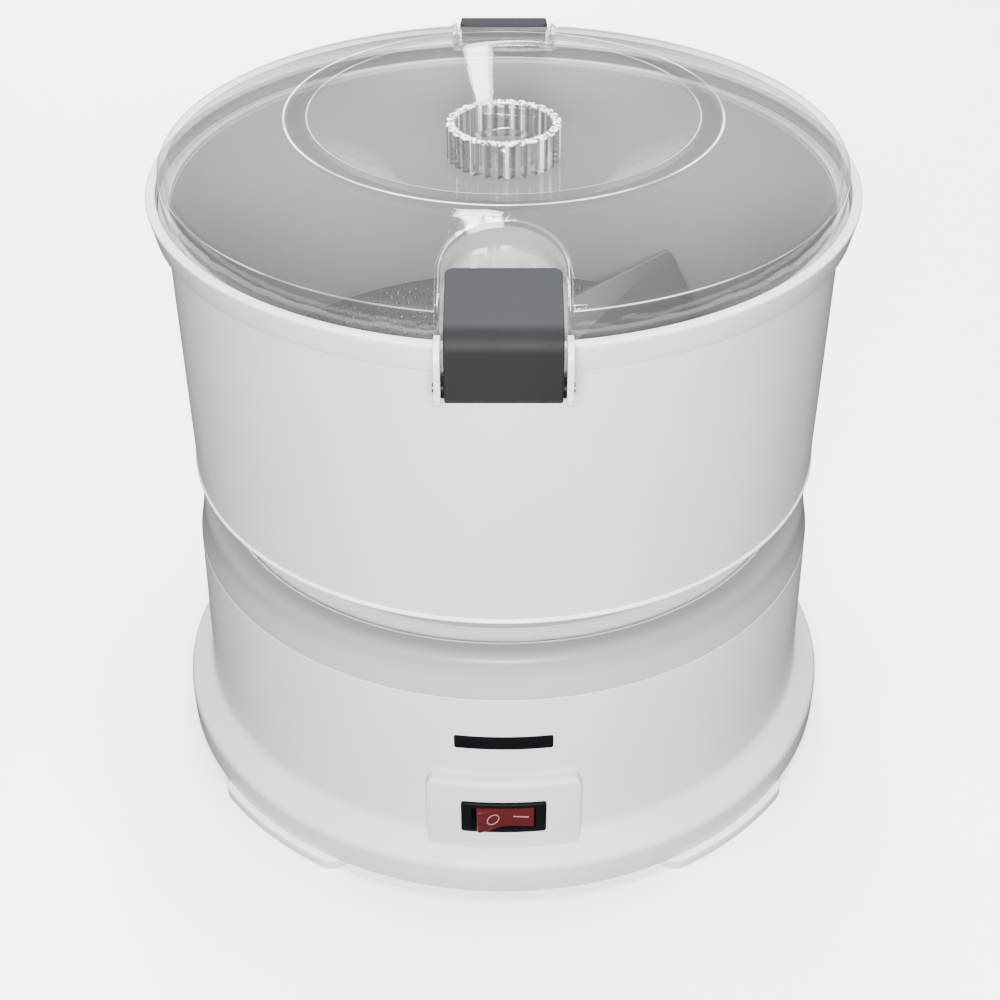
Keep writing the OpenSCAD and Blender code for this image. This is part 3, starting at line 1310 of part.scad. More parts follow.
module clip_side() {
    top = 90 - clip_slope;
    leg_low = pin_z - knuckle_r - 0.4;
    run = [-clip_leg * cos(clip_slope), clip_leg * sin(clip_slope)];
    outer = arc(clip_bend_y, clip_bend_z, clip_bend, 0, top);
    inner = arc(clip_bend_y, clip_bend_z, clip_bend - clip_t, top, 0);
    polygon(concat([[clip_out, leg_low]], outer, [outer[10] + run], [inner[0] + run], inner,
        [[clip_out - clip_t, leg_low]]));
}

// The front clip: an upright leg on the pin, a bend and a leg that slopes over the lid
module clip() {
    hook_y = clip_tip + 4;
    hook_z = clip_bend_z + (clip_bend - clip_t) * cos(clip_slope)
        + (clip_bend_y + (clip_bend - clip_t) * sin(clip_slope) - hook_y) * tan(clip_slope);
    c = clip_corner;
    w = clip_half;
    difference() {
        union() {
            intersection() {
                translate([-w, 0, 0]) rotate([90, 0, -90]) mirror([0, 0, 1]) linear_extrude(2 * w) clip_side();
                // Plan view with the tip's corners rounded
                linear_extrude(400) polygon(concat([[-w - 1, -clip_out - 9], [w + 1, -clip_out - 9], [w + 1, -clip_tip - c - 1]],
                    arc(w - c, -clip_tip - c, c, 0, 90, 6), arc(c - w, -clip_tip - c, c, 90, 180, 6),
                    [[-w - 1, -clip_tip - c - 1]]));
            }
            // Hook under the tip
            translate([-w + 5, -hook_y - 1.5, hook_z - hook_h]) cube([2 * w - 10, 3, hook_h + 1.2]);
            // Knuckle
            translate([-w, -pin_y, pin_z]) rotate([0, 90, 0]) cylinder(r = knuckle_r, h = 2 * w);
        }
        translate([-w - 1, -pin_y, pin_z]) rotate([0, 90, 0]) cylinder(r = pin_r + run_gap, h = 2 * w + 2, $fn = 48);
    }
}

module front_clip() {
    color([0.3, 0.31, 0.32]) clip();
}

module back_clip() {
    color([0.3, 0.31, 0.32]) rotate([0, 0, 180]) clip();
}

housing();
top_deck();
bottom_plate();
foot_pads();
badge_strip();
chassis_plate();
bearing_tube();
upper_bush();
lower_bush();
shaft_seal();
tube_screws();
deck_screws();
chassis_screws();
bottom_screws();
motor_lower_bracket();
motor_upper_bracket();
stator();
windings();
motor_bearings();
motor_bolts();
motor_screws();
drive_belt();
capacitor();
capacitor_strap();
terminal_block();
cord_inlet();
inlet_nut();
cord_clamp();
switch_frame();
switch_contacts();
internal_leads();
rocker();
rocker_marks();
motor_shaft();
rotor_core();
motor_pulley();
cooling_fan();
spindle();
large_pulley();
pulley_nut();
thrust_washer();
spindle_circlip();
disc();
grit_plates();
disc_hub_cap();
bowl();
rim_collar();
rim_seal();
front_pin();
back_pin();
lid();
lid_knob();
knob_rivet();
front_clip();
back_clip();
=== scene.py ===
import json
import math

import bmesh
import bpy
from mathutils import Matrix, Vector


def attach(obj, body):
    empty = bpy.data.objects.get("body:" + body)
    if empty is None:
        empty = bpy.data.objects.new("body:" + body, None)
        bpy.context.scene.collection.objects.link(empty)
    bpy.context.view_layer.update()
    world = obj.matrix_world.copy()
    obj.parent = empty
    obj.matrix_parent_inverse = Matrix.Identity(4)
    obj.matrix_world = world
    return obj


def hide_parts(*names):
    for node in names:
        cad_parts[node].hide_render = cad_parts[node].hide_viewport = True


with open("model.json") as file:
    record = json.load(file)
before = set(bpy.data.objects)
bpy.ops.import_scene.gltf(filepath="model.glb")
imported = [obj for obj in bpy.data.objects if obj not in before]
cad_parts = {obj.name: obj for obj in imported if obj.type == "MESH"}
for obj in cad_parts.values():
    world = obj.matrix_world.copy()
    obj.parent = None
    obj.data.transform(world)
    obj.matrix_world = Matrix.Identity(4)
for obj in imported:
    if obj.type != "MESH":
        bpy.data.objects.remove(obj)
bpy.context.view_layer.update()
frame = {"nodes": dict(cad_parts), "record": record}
mm = 0.001
up = (0, 0, 1)
front = -140  # tools that cut from the front start at this y, in mm
meshLimits = {"merge": 0.002, "sliver": 0.001, "softAngle": 40, "softSteps": 3}


def clearPick():
    if bpy.context.object and bpy.context.object.mode != "OBJECT":
        bpy.ops.object.mode_set(mode="OBJECT")
    bpy.ops.object.select_all(action="DESELECT")


def pick(*pieces):
    clearPick()
    for piece in pieces:
        piece.select_set(True)
    bpy.context.view_layer.objects.active = pieces[0]


def edit(piece):
    pick(piece)
    bpy.ops.object.mode_set(mode="EDIT")
    bpy.ops.mesh.select_all(action="SELECT")


def choose(piece, kind, test):
    # picks faces, edges or vertices of the piece in edit mode by their place
    bpy.ops.mesh.select_mode(type=kind)
    bpy.ops.mesh.select_all(action="DESELECT")
    mesh = bmesh.from_edit_mesh(piece.data)
    items = {"FACE": mesh.faces, "EDGE": mesh.edges, "VERT": mesh.verts}[kind]
    for item in items:
        if test(item):
            item.select_set(True)
    bmesh.update_edit_mesh(piece.data)


def applied(piece, kind, **settings):
    pick(piece)
    step = piece.modifiers.new(kind.lower(), kind)
    for key, value in settings.items():
        setattr(step, key, value)
    bpy.ops.object.modifier_apply(modifier=step.name)
    return piece


def carve(piece, tool, way="DIFFERENCE"):
    applied(piece, "BOOLEAN", object=tool, operation=way, solver="EXACT")
    bpy.data.objects.remove(tool)
    return piece


def soften(piece, width, angle=meshLimits["softAngle"], segments=meshLimits["softSteps"]):
    return applied(piece, "BEVEL", width=width * mm, segments=segments, limit_method="ANGLE",
                   angle_limit=math.radians(angle))


def joined(*pieces):
    pick(*pieces)
    bpy.ops.object.join()
    return bpy.context.object


def copied(piece):
    pick(piece)
    bpy.ops.object.duplicate(linked=False)
    return bpy.context.object


def turned(piece, angle, axis="Z", center=(0, 0, 0)):
    edit(piece)
    # with no window the operator turns the other way, so the angle is negated here
    bpy.ops.transform.rotate(value=-math.radians(angle), orient_axis=axis, orient_type="GLOBAL",
                             center_override=Vector(center) * mm)
    bpy.ops.object.mode_set(mode="OBJECT")
    return piece


def moved(piece, offset):
    edit(piece)
    bpy.ops.transform.translate(value=Vector(offset) * mm)
    bpy.ops.object.mode_set(mode="OBJECT")
    return piece


def spread(piece, angles):
    # the piece and copies of it, each turned about the spindle, as one mesh
    rest = [turned(copied(piece), angle) for angle in angles[1:]]
    turned(piece, angles[0])
    return joined(piece, *rest)


def softPath(corners, steps=5):
    # corners are (a, b, size of the rounding), in mm, around a closed outline
    path = []
    for i, (a, b, size) in enumerate(corners):
        if size == 0:
            path.append((a, b))
            continue
        here = Vector((a, b))
        before = Vector(corners[i - 1][:2]) - here
        after = Vector(corners[(i + 1) % len(corners)][:2]) - here
        reach = min(size, before.length * 0.49, after.length * 0.49)  # just under half of each side
        start = here + before.normalized() * reach
        end = here + after.normalized() * reach
        for k in range(steps + 1):
            t = k / steps
            path.append(tuple(start.lerp(here, t).lerp(here.lerp(end, t), t)))
    return path


def arcPath(cx, cy, radius, first, last, steps):
    angles = [math.radians(first + (last - first) * i / steps) for i in range(steps + 1)]
    return [(cx + radius * math.cos(angle), cy + radius * math.sin(angle)) for angle in angles]


def traced(name, path):
    # a single vertex is pushed along the path, as a pen would draw it, and the loop is closed
    clearPick()
    bpy.ops.mesh.primitive_plane_add(size=mm)
    piece = bpy.context.object
    piece.name = name
    bpy.ops.object.mode_set(mode="EDIT")
    bpy.ops.mesh.select_mode(type="VERT")
    bpy.ops.mesh.select_all(action="SELECT")
    bpy.ops.mesh.merge(type="CENTER")
    bpy.ops.transform.translate(value=Vector(path[0]) * mm)
    here = Vector(path[0])
    for point in path[1:]:
        bpy.ops.mesh.extrude_region_move(TRANSFORM_OT_translate={"value": (Vector(point) - here) * mm})
        here = Vector(point)
    ends = (0, len(path) - 1)
    choose(piece, "VERT", lambda v: v.index in ends)
    bpy.ops.mesh.edge_face_add()
    bpy.ops.mesh.select_all(action="SELECT")
    return piece


def closeUp(piece):
    bpy.ops.mesh.select_all(action="SELECT")
    bpy.ops.mesh.remove_doubles(threshold=meshLimits["merge"] * mm)
    bpy.ops.mesh.dissolve_degenerate(threshold=meshLimits["sliver"] * mm)
    bpy.ops.mesh.select_all(action="SELECT")
    bpy.ops.mesh.normals_make_consistent(inside=False)
    bpy.ops.object.mode_set(mode="OBJECT")
    return piece


def lathe(name, corners, angle=360, steps=180, soft=5):
    # corners are (radius, height, rounding); a part turn starts at +X and goes towards +Y
    piece = traced(name, [(r, 0, z) for r, z in softPath(corners, steps=soft)])
    if angle < 360:
        bpy.ops.mesh.edge_face_add()
    bpy.ops.mesh.spin(steps=steps, angle=-math.radians(angle), center=(0, 0, 0), axis=up)
    return closeUp(piece)


def lugLathe(name, corners, wide):
    # a short piece of a ring, with its middle at +X
    return turned(lathe(name, corners, wide, 12, 3), -wide / 2)


def prism(name, path, push):
    piece = traced(name, path)
    bpy.ops.mesh.edge_face_add()
    bpy.ops.mesh.extrude_region_move(TRANSFORM_OT_translate={"value": Vector(push) * mm})
    return closeUp(piece)


def drumPlate(name, ring, half, span, corner, depth, soft=5):
    # a ring's profile, kept where a rounded rectangle looks at it from the front
    piece = lathe(name, ring, soft=soft)
    low, high = span
    corners = [(-half, low, corner), (half, low, corner), (half, high, corner), (-half, high, corner)]
    outline = prism(name + "Outline", [(a, front, b) for a, b in softPath(corners, steps=6)], (0, depth, 0))
    return carve(piece, outline, "INTERSECT")


def rod(name, start, end, radius, sides=48, soft=0):
    start, end = Vector(start) * mm, Vector(end) * mm
    clearPick()
    bpy.ops.mesh.primitive_cylinder_add(vertices=sides, radius=radius * mm, depth=(end - start).length,
                                        location=(start + end) / 2,
                                        rotation=(end - start).to_track_quat("Z", "Y").to_euler())
    bpy.ops.object.transform_apply(location=True, rotation=True, scale=True)
    piece = bpy.context.object
    piece.name = name
    return soften(piece, soft) if soft else piece


def block(name, low, high, soft=0):
    low, high = Vector(low) * mm, Vector(high) * mm
    clearPick()
    bpy.ops.mesh.primitive_cube_add(size=1, location=(low + high) / 2)
    piece = bpy.context.object
    piece.name = name
    piece.scale = high - low
    bpy.ops.object.transform_apply(location=True, rotation=True, scale=True)
    return soften(piece, soft) if soft else piece


def done(piece, body, finish, stands=(), angle=32):
    pick(piece)
    bpy.ops.object.shade_smooth_by_angle(angle=math.radians(angle))
    piece.data.materials.clear()
    piece.data.materials.append(finish.material)
    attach(piece, body)
    if stands:
        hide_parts(*stands)


class Signal:
    # a socket that can be added and multiplied like a number
    def __init__(self, paint, socket):
        self.paint = paint
        self.socket = socket

    def maths(self, operation, *others):
        return self.paint.add("ShaderNodeMath", {"operation": operation}, dict(enumerate((self,) + others)))

    def __add__(self, other):
        return self.maths("ADD", other)

    def __radd__(self, other):
        return self.maths("ADD", other)

    def __sub__(self, other):
        return self.maths("SUBTRACT", other)

    def __rsub__(self, other):
        return self.paint.add("ShaderNodeMath", {"operation": "SUBTRACT"}, {0: other, 1: self})

    def __mul__(self, other):
        return self.maths("MULTIPLY", other)

    def __rmul__(self, other):
        return self.maths("MULTIPLY", other)

    def __pow__(self, other):
        return self.maths("POWER", other)

    def __abs__(self):
        return self.maths("ABSOLUTE")

    def least(self, other):
        return self.maths("MINIMUM", other)

    def most(self, other):
        return self.maths("MAXIMUM", other)

    def wave(self):
        return self.maths("SINE")

    def ramp(self, start, end):
        # 0 below start, 1 above end, smooth between
        return self.paint.add("ShaderNodeMapRange", {"interpolation_type": "SMOOTHSTEP"},
                              {"Value": self, "From Min": start, "From Max": end})

    def band(self, middle, half, edge):
        # 1 within half of the middle, fading to 0 over edge
        return 1 - abs(self - middle).ramp(half, half + edge)


class Paint:
    # one material, built as a list of nodes
    def __init__(self, name, **constants):
        self.material = bpy.data.materials.new(name)
        self.material.use_nodes = True
        self.tree = self.material.node_tree
        self.shader = next(n for n in self.tree.nodes if n.type == "BSDF_PRINCIPLED")
        self.output = next(n for n in self.tree.nodes if n.type == "OUTPUT_MATERIAL")
        for key, value in constants.items():
            self.shader.inputs[key.replace("_", " ")].default_value = value
        self.place = self.add("ShaderNodeTexCoord", {}, {}, "Object")
        # the place in mm, one signal for each axis
        self.x, self.y, self.z = (self.add("ShaderNodeSeparateXYZ", {}, {0: self.place}, i) * 1000.0
                                  for i in range(3))

    def add(self, kind, settings, values, out=0):
        # settings are the node's own, values go to its sockets
        node = self.tree.nodes.new(kind)
        for key, value in settings.items():
            setattr(node, key, value)
        for key, value in values.items():
            if isinstance(value, Signal):
                self.tree.links.new(value.socket, node.inputs[key])
            else:
                node.inputs[key].default_value = value
        return Signal(self, node.outputs[out])

    def noise(self, size, detail=3.0, rough=0.5, place=None):
        # size of the pattern in mm
        return self.add("ShaderNodeTexNoise", {}, {"Vector": place or self.place, "Scale": 1000.0 / size,
                                                   "Detail": detail, "Roughness": rough})

    def cells(self, size):
        return self.add("ShaderNodeTexVoronoi", {"feature": "F1"},
                        {"Vector": self.place, "Scale": 1000.0 / size}, "Distance")

    def stretched(self, sx, sy, sz):
        return self.add("ShaderNodeMapping", {}, {"Vector": self.place, "Scale": (sx, sy, sz)})

    def radius(self, cx=0.0, cy=0.0):
        return ((self.x - cx) * (self.x - cx) + (self.y - cy) * (self.y - cy)) ** 0.5

    def turn(self):
        # the angle about the spindle, in radians
        return self.add("ShaderNodeMath", {"operation": "ARCTAN2"}, {0: self.y, 1: self.x})

    def facing(self):
        # 0 where a surface looks at the eye, 1 where it is seen edge on
        return self.add("ShaderNodeLayerWeight", {}, {"Blend": 0.5}, "Facing")

    def blend(self, share, first, second):
        # sockets 6 and 7 of a colour mix are its two colours
        colours = {index: value if isinstance(value, Signal) else (*value, 1)
                   for index, value in ((6, first), (7, second))}
        return self.add("ShaderNodeMix", {"data_type": "RGBA"}, {0: share, **colours}, 2)

    def into(self, socketName, signal):
        self.tree.links.new(signal.socket, self.shader.inputs[socketName])

    def relief(self, *layers):
        # each layer is (signal, height in mm)
        total = sum(signal * height for signal, height in layers)
        bump = self.add("ShaderNodeBump", {}, {"Height": total, "Distance": mm, "Strength": 1.0})
        self.into("Normal", bump)

    def seeThrough(self, share, tint):
        # what isn't covered by the shader's share lets the light straight through
        clear = self.add("ShaderNodeBsdfTransparent", {}, {0: (*tint, 1)})
        solid = Signal(self, self.shader.outputs[0])
        both = self.add("ShaderNodeMixShader", {}, {0: share, 1: clear, 2: solid})
        self.tree.links.new(both.socket, self.output.inputs[0])


def darker(colour, share):
    return tuple(c * (1 - share) for c in colour)


def plasticFinish(name, colour, rough=0.3, grain=0.012, mottle=0.03, dust=None, inner=None, rise=None,
                  edge=None, **constants):
    # moulded plastic: a faint cloudiness, fine grain, soft flow marks and slight wear in the gloss
    paint = Paint(name, **constants)
    cloud = paint.noise(38, 2.0)
    flow = paint.noise(9, 3.0, 0.6, paint.stretched(1, 1, 0.18))
    fine = paint.noise(0.55, 2.0, 0.6)
    scuff = paint.noise(2.6, 6.0, 0.75, paint.stretched(0.35, 0.35, 2.4)).ramp(0.60, 0.72)
    base = paint.blend(cloud.ramp(0.3, 0.7), darker(colour, mottle * 1.6), colour)
    if rise:
        # a second shade that takes over between two heights: painted shade or painted light on a part's upper
        # surfaces
        low, high, shade = rise
        base = paint.blend(paint.z.ramp(low, high), base, shade)
    if inner:
        # another shade inside a radius: painted shade where a surface is out of the light, or painted light
        # on a lit ledge
        limit, shade = inner
        base = paint.blend(1 - paint.radius().ramp(limit - 0.4, limit + 0.4), base, shade)
    if edge:
        # a painted highlight along a band of heights
        level, half, shade = edge
        base = paint.blend(paint.z.band(level, half, 0.3), base, shade)
    if dust:
        # dust that settles low down
        level, reach, shade = dust
        low = 1 - paint.z.ramp(level, level + reach)
        base = paint.blend(low * paint.noise(4, 4.0).ramp(0.35, 0.75) * 0.4, base, shade)
    paint.into("Base Color", base)
    paint.into("Roughness", rough + (flow - 0.5) * 0.10 + scuff * 0.07 + (fine - 0.5) * 0.05)
    paint.relief((fine, grain), (flow, grain * 1.6), (cloud, 0.05))
    return paint


def metalFinish(name, colour, rough=0.35, around=None, brush=0.02, spot=0.25, pits=0):
    # metal with fine lines, turned about an axis or rolled along one, with stains and polished spots
    paint = Paint(name, Metallic=1.0)
    if around:
        rings = {0: paint.radius(*around) * mm, 1: paint.z * mm, 2: 0.0}
        lines = paint.noise(0.6, 2.0, 0.7, paint.add("ShaderNodeCombineXYZ", {}, rings))
    else:
        lines = paint.noise(0.9, 3.0, 0.7, paint.stretched(0.08, 1, 1))
    stain = paint.noise(7, 4.0, 0.6).ramp(0.35, 0.75)
    paint.into("Base Color", paint.blend(stain, colour, darker(colour, spot)))
    paint.into("Roughness", rough + (lines - 0.5) * 0.22 + stain * 0.12)
    layers = [(lines, brush), (stain, 0.01)]
    if pits:
        layers.append((paint.cells(1.1).ramp(0.0, 0.5), pits))
    paint.relief(*layers)
    return paint


def rubberFinish(name, colour, rough=0.6, grain=0.03, **constants):
    # rubber: matt, with dust in its pores and worn paler on its high spots
    paint = Paint(name, **constants)
    pores = paint.noise(0.8, 3.0, 0.65)
    cloud = paint.noise(12, 4.0, 0.6).ramp(0.3, 0.75)
    pale = tuple(c + (0.5 - c) * 0.16 for c in colour)
    paint.into("Base Color", paint.blend(cloud * 0.6, colour, pale))
    paint.into("Roughness", rough + (pores - 0.5) * 0.2 + cloud * 0.08)
    paint.relief((pores, grain), (cloud, 0.03))
    return paint


shades = {
    "housing": (0.57, 0.573, 0.59), "dust": (0.52, 0.52, 0.51),
    # painted shade: the deck is a darker shade of the same white plastic, darker still at the top of its
    # rounding; painted light: its ledge is lighter
    "deck": (0.35, 0.365, 0.385), "deckCurvePaintedShade": (0.24, 0.255, 0.275), "ledge": (0.68, 0.68, 0.685),
    # painted highlight along the bowl's bottom edge, and painted shade inside the bowl
    "bowl": (0.56, 0.562, 0.575), "bowlEdgePaintedHighlight": (0.82, 0.82, 0.82), "bowlInsidePaintedShade": (0.335, 0.322, 0.305),
    # painted shade on the collar's inner wall, beside the lid
    "collar": (0.62, 0.623, 0.635), "groovePaintedShade": (0.16, 0.162, 0.168),
    # painted light: the clip's upper face is a lighter shade than its front leg
    "clip": (0.012, 0.0125, 0.0135), "clipTopPaintedLight": (0.0262, 0.0280, 0.0308),
    "rocker": (0.058, 0.009, 0.011), "mark": (0.30, 0.14, 0.13), "black": (0.004, 0.004, 0.005),
    "disc": (0.050, 0.052, 0.056), "hub": (0.085, 0.09, 0.098), "foot": (0.74, 0.76, 0.77),
}

finishes = {
    "white_plastic": plasticFinish("whitePlastic", shades["housing"], 0.34, dust=(14, 12, shades["dust"]),
                                   Specular_IOR_Level=0.25),
    # painted shade on the deck's shoulder, darker towards the top of its rounding, and painted light on the
    # ledge inside it
    "deckPlastic": plasticFinish("deckPlastic", shades["deck"], 0.30, rise=(98, 107, shades["deckCurvePaintedShade"]),
                                 inner=(112.6, shades["ledge"]), Specular_IOR_Level=0.20),
    # painted shade on the collar's inner wall
    "collarPlastic": plasticFinish("collarPlastic", shades["collar"], 0.26, inner=(124.3, shades["groovePaintedShade"]),
                                   Specular_IOR_Level=0.35),
    # painted shade inside the bowl and a painted highlight along its bottom edge
    "bowl_plastic": plasticFinish("bowlPlastic", shades["bowl"], 0.34, inner=(119.9, shades["bowlInsidePaintedShade"]),
                                  edge=(125.6, 1.1, shades["bowlEdgePaintedHighlight"]), Specular_IOR_Level=0.25),
    "grey_plastic": plasticFinish("greyPlastic", (0.55, 0.56, 0.57), 0.45, grain=0.03),
    "foot_rubber": rubberFinish("footRubber", shades["foot"], 0.42, 0.02, Subsurface_Weight=0.25,
                                Subsurface_Radius=(0.004, 0.004, 0.004)),
    "black_gloss": plasticFinish("stripPlastic", shades["black"], 0.22, grain=0.004, mottle=0.1,
                                 Specular_IOR_Level=0.06),
    "black_plastic": plasticFinish("blackPlastic", shades["black"], 0.36, grain=0.016, mottle=0.1,
                                   Specular_IOR_Level=0.06),
    "ivory_plastic": plasticFinish("ivoryPlastic", (0.66, 0.61, 0.48), 0.4, grain=0.02, mottle=0.06),
    "inlet_plastic": plasticFinish("inletPlastic", (0.07, 0.072, 0.076), 0.42, grain=0.03, mottle=0.1),
    "pulley_plastic": plasticFinish("pulleyPlastic", (0.035, 0.037, 0.040), 0.45, grain=0.04, mottle=0.12),
    "disc_plastic": plasticFinish("discPlastic", shades["disc"], 0.36, grain=0.03, mottle=0.12),
    "hub_plastic": plasticFinish("hubPlastic", shades["hub"], 0.32, grain=0.02, mottle=0.1),
    # painted light on the clip's upper face
    "clip_plastic": plasticFinish("clipPlastic", shades["clip"], 0.60, grain=0.014, mottle=0.08,
                                  rise=(245.5, 246.6, shades["clipTopPaintedLight"]), Specular_IOR_Level=0.12),
    "red_plastic": plasticFinish("redPlastic", shades["rocker"], 0.26, grain=0.006, mottle=0.05,
                                 Specular_IOR_Level=0.14),
    "mark_ink": plasticFinish("markInk", shades["mark"], 0.5, grain=0.01, mottle=0.08,
                              Specular_IOR_Level=0.2),
    "lead_sheath": plasticFinish("leadSheath", (0.05, 0.07, 0.16), 0.38, grain=0.02, mottle=0.1),
    "black_rubber": rubberFinish("blackRubber", (0.018, 0.018, 0.019)),
    "seal_rubber": rubberFinish("sealRubber", (0.50, 0.51, 0.52), 0.5, 0.02),
    "zinc_steel": metalFinish("zincSteel", (0.50, 0.51, 0.53), 0.38, spot=0.3),
    "cast_aluminium": metalFinish("castAluminium", (0.50, 0.51, 0.52), 0.48, spot=0.2, pits=0.05),
    "can_aluminium": metalFinish("canAluminium", (0.62, 0.63, 0.65), 0.3, around=(-70, 0)),
    "bronze": metalFinish("bronze", (0.44, 0.27, 0.12), 0.42, around=(0, 0), pits=0.03),
    "screw_steel": metalFinish("screwSteel", (0.46, 0.46, 0.48), 0.36, spot=0.3),
    "lamination_steel": metalFinish("laminationSteel", (0.20, 0.21, 0.23), 0.5, spot=0.35),
    "copper": metalFinish("copper", (0.50, 0.20, 0.09), 0.34, spot=0.3),
    "polished_steel": metalFinish("polishedSteel", (0.62, 0.63, 0.64), 0.22, around=(0, 0), brush=0.008,
                                  spot=0.12),
    "pin_steel": metalFinish("pinSteel", (0.10, 0.10, 0.11), 0.34, brush=0.01),
    "contact_brass": metalFinish("contactBrass", (0.55, 0.42, 0.18), 0.3),
    "grit_steel": metalFinish("gritSteel", (0.30, 0.31, 0.33), 0.34, around=(0, 0), spot=0.3),
}

# turns of enamelled wire, and the edges of stacked sheets
wire = finishes["copper"]
wire.relief(((wire.z * 5.2 + wire.noise(6, 2.0) * 2.0).wave(), 0.16))
sheets = finishes["lamination_steel"]
sheets.relief(((sheets.z * 9.0).wave(), 0.06), (sheets.noise(2.0), 0.03))

# the clear lid: how much each feature is seen, and where its moulded edges lie, in mm
clearLook = {
    "mirror": 0.05, "rise": 0.75, "haze": 0.03, "line": 0.62, "between": 0.16, "pocket": 0.07, "most": 0.95,
    "tint": (0.985, 0.985, 0.98), "body": (0.93, 0.94, 0.95), "shadow": (0.42, 0.44, 0.46),
    "edge": (0.96, 0.97, 0.98), "metallic": 0.8,
    "pocketMid": 105.3, "radius": 122.7, "shoulder": 246.5, "slope": 0.295,
    "arch": (19.9, 20.9), "pocketWall": (19.35, 19.6), "pocketDeep": (234.0, 238.0),
    "rim": 122.3, "rimLevel": 245.6, "crest": (77.4, 69.4), "crestLevel": (257.5, 258.3),
    "foot": 120.6, "footLevel": (233.0, 233.5), "skirt": (118.5, 120.0), "skirtLevel": 241.5,
    "ring": 73.3, "ringLevel": (255.5, 257.5),
}
clear = Paint("clearPlastic", Specular_IOR_Level=0.5)
facing = clear.facing()
clearCloud = clear.noise(24, 2.0)
smear = clear.noise(7, 5.0, 0.7, clear.stretched(0.5, 0.5, 2.0)).ramp(0.55, 0.75)
lidRadius = clear.radius()
# painted highlights: thin bright lines where the moulded edges catch the light
archDistance = (clear.x * clear.x + (clearLook["pocketMid"] - abs(clear.y)).most(0.0) ** 2.0) ** 0.5
slopeLevel = clearLook["shoulder"] + (clearLook["radius"] - lidRadius) * clearLook["slope"]
onSlope = (clear.z - slopeLevel).ramp(-0.8, -0.4)
archIn, archOut = clearLook["arch"]
archLine = archDistance.band(archIn, 0.08, 0.2) * 0.75 + archDistance.band(archOut, 0.05, 0.15) * 0.4
archLine = archLine * onSlope
rimLine = lidRadius.band(clearLook["rim"], 0.1, 0.25) * clear.z.band(clearLook["rimLevel"], 0.12, 0.25) * 0.8
crestOut = lidRadius.band(clearLook["crest"][0], 0.2, 0.4) * clear.z.ramp(*clearLook["crestLevel"])
crestIn = lidRadius.band(clearLook["crest"][1], 0.1, 0.3) * clear.z.ramp(*clearLook["crestLevel"])
# a noise breaks up the painted highlight lines, so they come and go
glimmer = clear.noise(42, 2.0).ramp(0.36, 0.62) * 0.6 + 0.4
lines = (archLine.most(rimLine).most(crestOut).most(crestIn * 0.7) * glimmer).least(1.0)
# a painted highlight line round the lid's foot
footLine = lidRadius.band(clearLook["foot"], 0.3, 0.4) * (1 - clear.z.ramp(*clearLook["footLevel"]))
lines = lines.most(footLine)
# painted shade: a darker band along the skirt and a darker ring on the crest, between its two edges
skirt = lidRadius.ramp(*clearLook["skirt"]) * clear.z.band(clearLook["skirtLevel"], 3.5, 2.0)
# the pocket walls are paler and less clear than the rest of the lid
pocketWallPale = ((1 - archDistance.ramp(*clearLook["pocketWall"])) * (1 - onSlope)
              * clear.z.ramp(*clearLook["pocketDeep"]))
between = (lidRadius.band(clearLook["ring"], 2.6, 1.6) * clear.z.ramp(*clearLook["ringLevel"])).most(skirt)
clear.into("Base Color", clear.blend(lines, clear.blend(between, clearLook["body"], clearLook["shadow"]),
                                     clearLook["edge"]))
clear.into("Metallic", clearLook["metallic"] - lines.most(pocketWallPale) * clearLook["metallic"])
clear.into("Roughness", 0.035 + smear * 0.05 + clearCloud * 0.02 + lines * 0.2)
clear.relief((clearCloud, 0.10), (clear.noise(3.2, 2.0), 0.006))
seen = (clearLook["mirror"] + (facing ** 4.0) * clearLook["rise"] + smear * clearLook["haze"]
        + lines * clearLook["line"] + between * clearLook["between"] + pocketWallPale * clearLook["pocket"])
clear.seeThrough(seen.least(clearLook["most"]), clearLook["tint"])
finishes["clear_plastic"] = clear

# the knob is the same plastic, thick and fluted; painted bright streaks, painted shade in the flutes and
# painted glints on its rim stand in for the light it gathers
glassLook = {
    "flutes": 28.0, "mirror": 0.16, "rise": 0.7, "streak": 0.30, "dark": 0.42, "rim": 0.5, "least": 0.03,
    "most": 0.95, "top": 255.0, "wall": (16.8, 17.4), "tint": (0.97, 0.97, 0.965), "metallic": 0.75,
    "body": (0.80, 0.81, 0.82), "light": (0.98, 0.98, 0.98), "shadow": (0.20, 0.20, 0.21),
}
glass = Paint("knobPlastic", Specular_IOR_Level=0.5)
glassFacing = glass.facing()
glassTurn = glass.turn()
wall = glass.radius().ramp(*glassLook["wall"])
flute = (glassTurn * glassLook["flutes"]).wave()
streak = (glassTurn * 9.0 + glass.noise(40, 1.0) * 5.0).wave()
paintedGlints = glass.cells(1.3).ramp(0.28, 0.6)
glassRim = glass.z.ramp(glassLook["top"] - 1.0, glassLook["top"] - 0.4)
# painted highlights on the flutes and the rim, and painted shade in the flutes' hollows
bright = (flute.ramp(0.45, 0.9) * streak.ramp(0.0, 0.7) * wall).most(glassRim * paintedGlints)
dark = flute.ramp(0.2, -0.5) * (1 - glassRim) * wall + glassRim * (1 - paintedGlints) * 0.6
glass.into("Base Color", glass.blend(dark, glass.blend(bright, glassLook["body"], glassLook["light"]),
                                     glassLook["shadow"]))
glass.into("Metallic", glassLook["metallic"] - bright * glassLook["metallic"])
glass.into("Roughness", 0.06 + paintedGlints * 0.05)
glass.relief((glass.noise(2.2, 2.0), 0.02))
seen = (wall * glassLook["mirror"] + (glassFacing ** 3.0) * glassLook["rise"] + bright * glassLook["streak"]
        + dark * glassLook["dark"] + glassRim * glassLook["rim"] * paintedGlints + glassLook["least"])
glass.seeThrough(seen.least(glassLook["most"]), glassLook["tint"])
finishes["knobPlastic"] = glass
print("finishes ready:", len(finishes))

for item in frame["record"]["subparts"]:
    node = frame["nodes"][item["node"]]
    node.data.materials.clear()
    node.data.materials.append(finishes[item["material_slot"]].material)
print("carried-over solids painted")


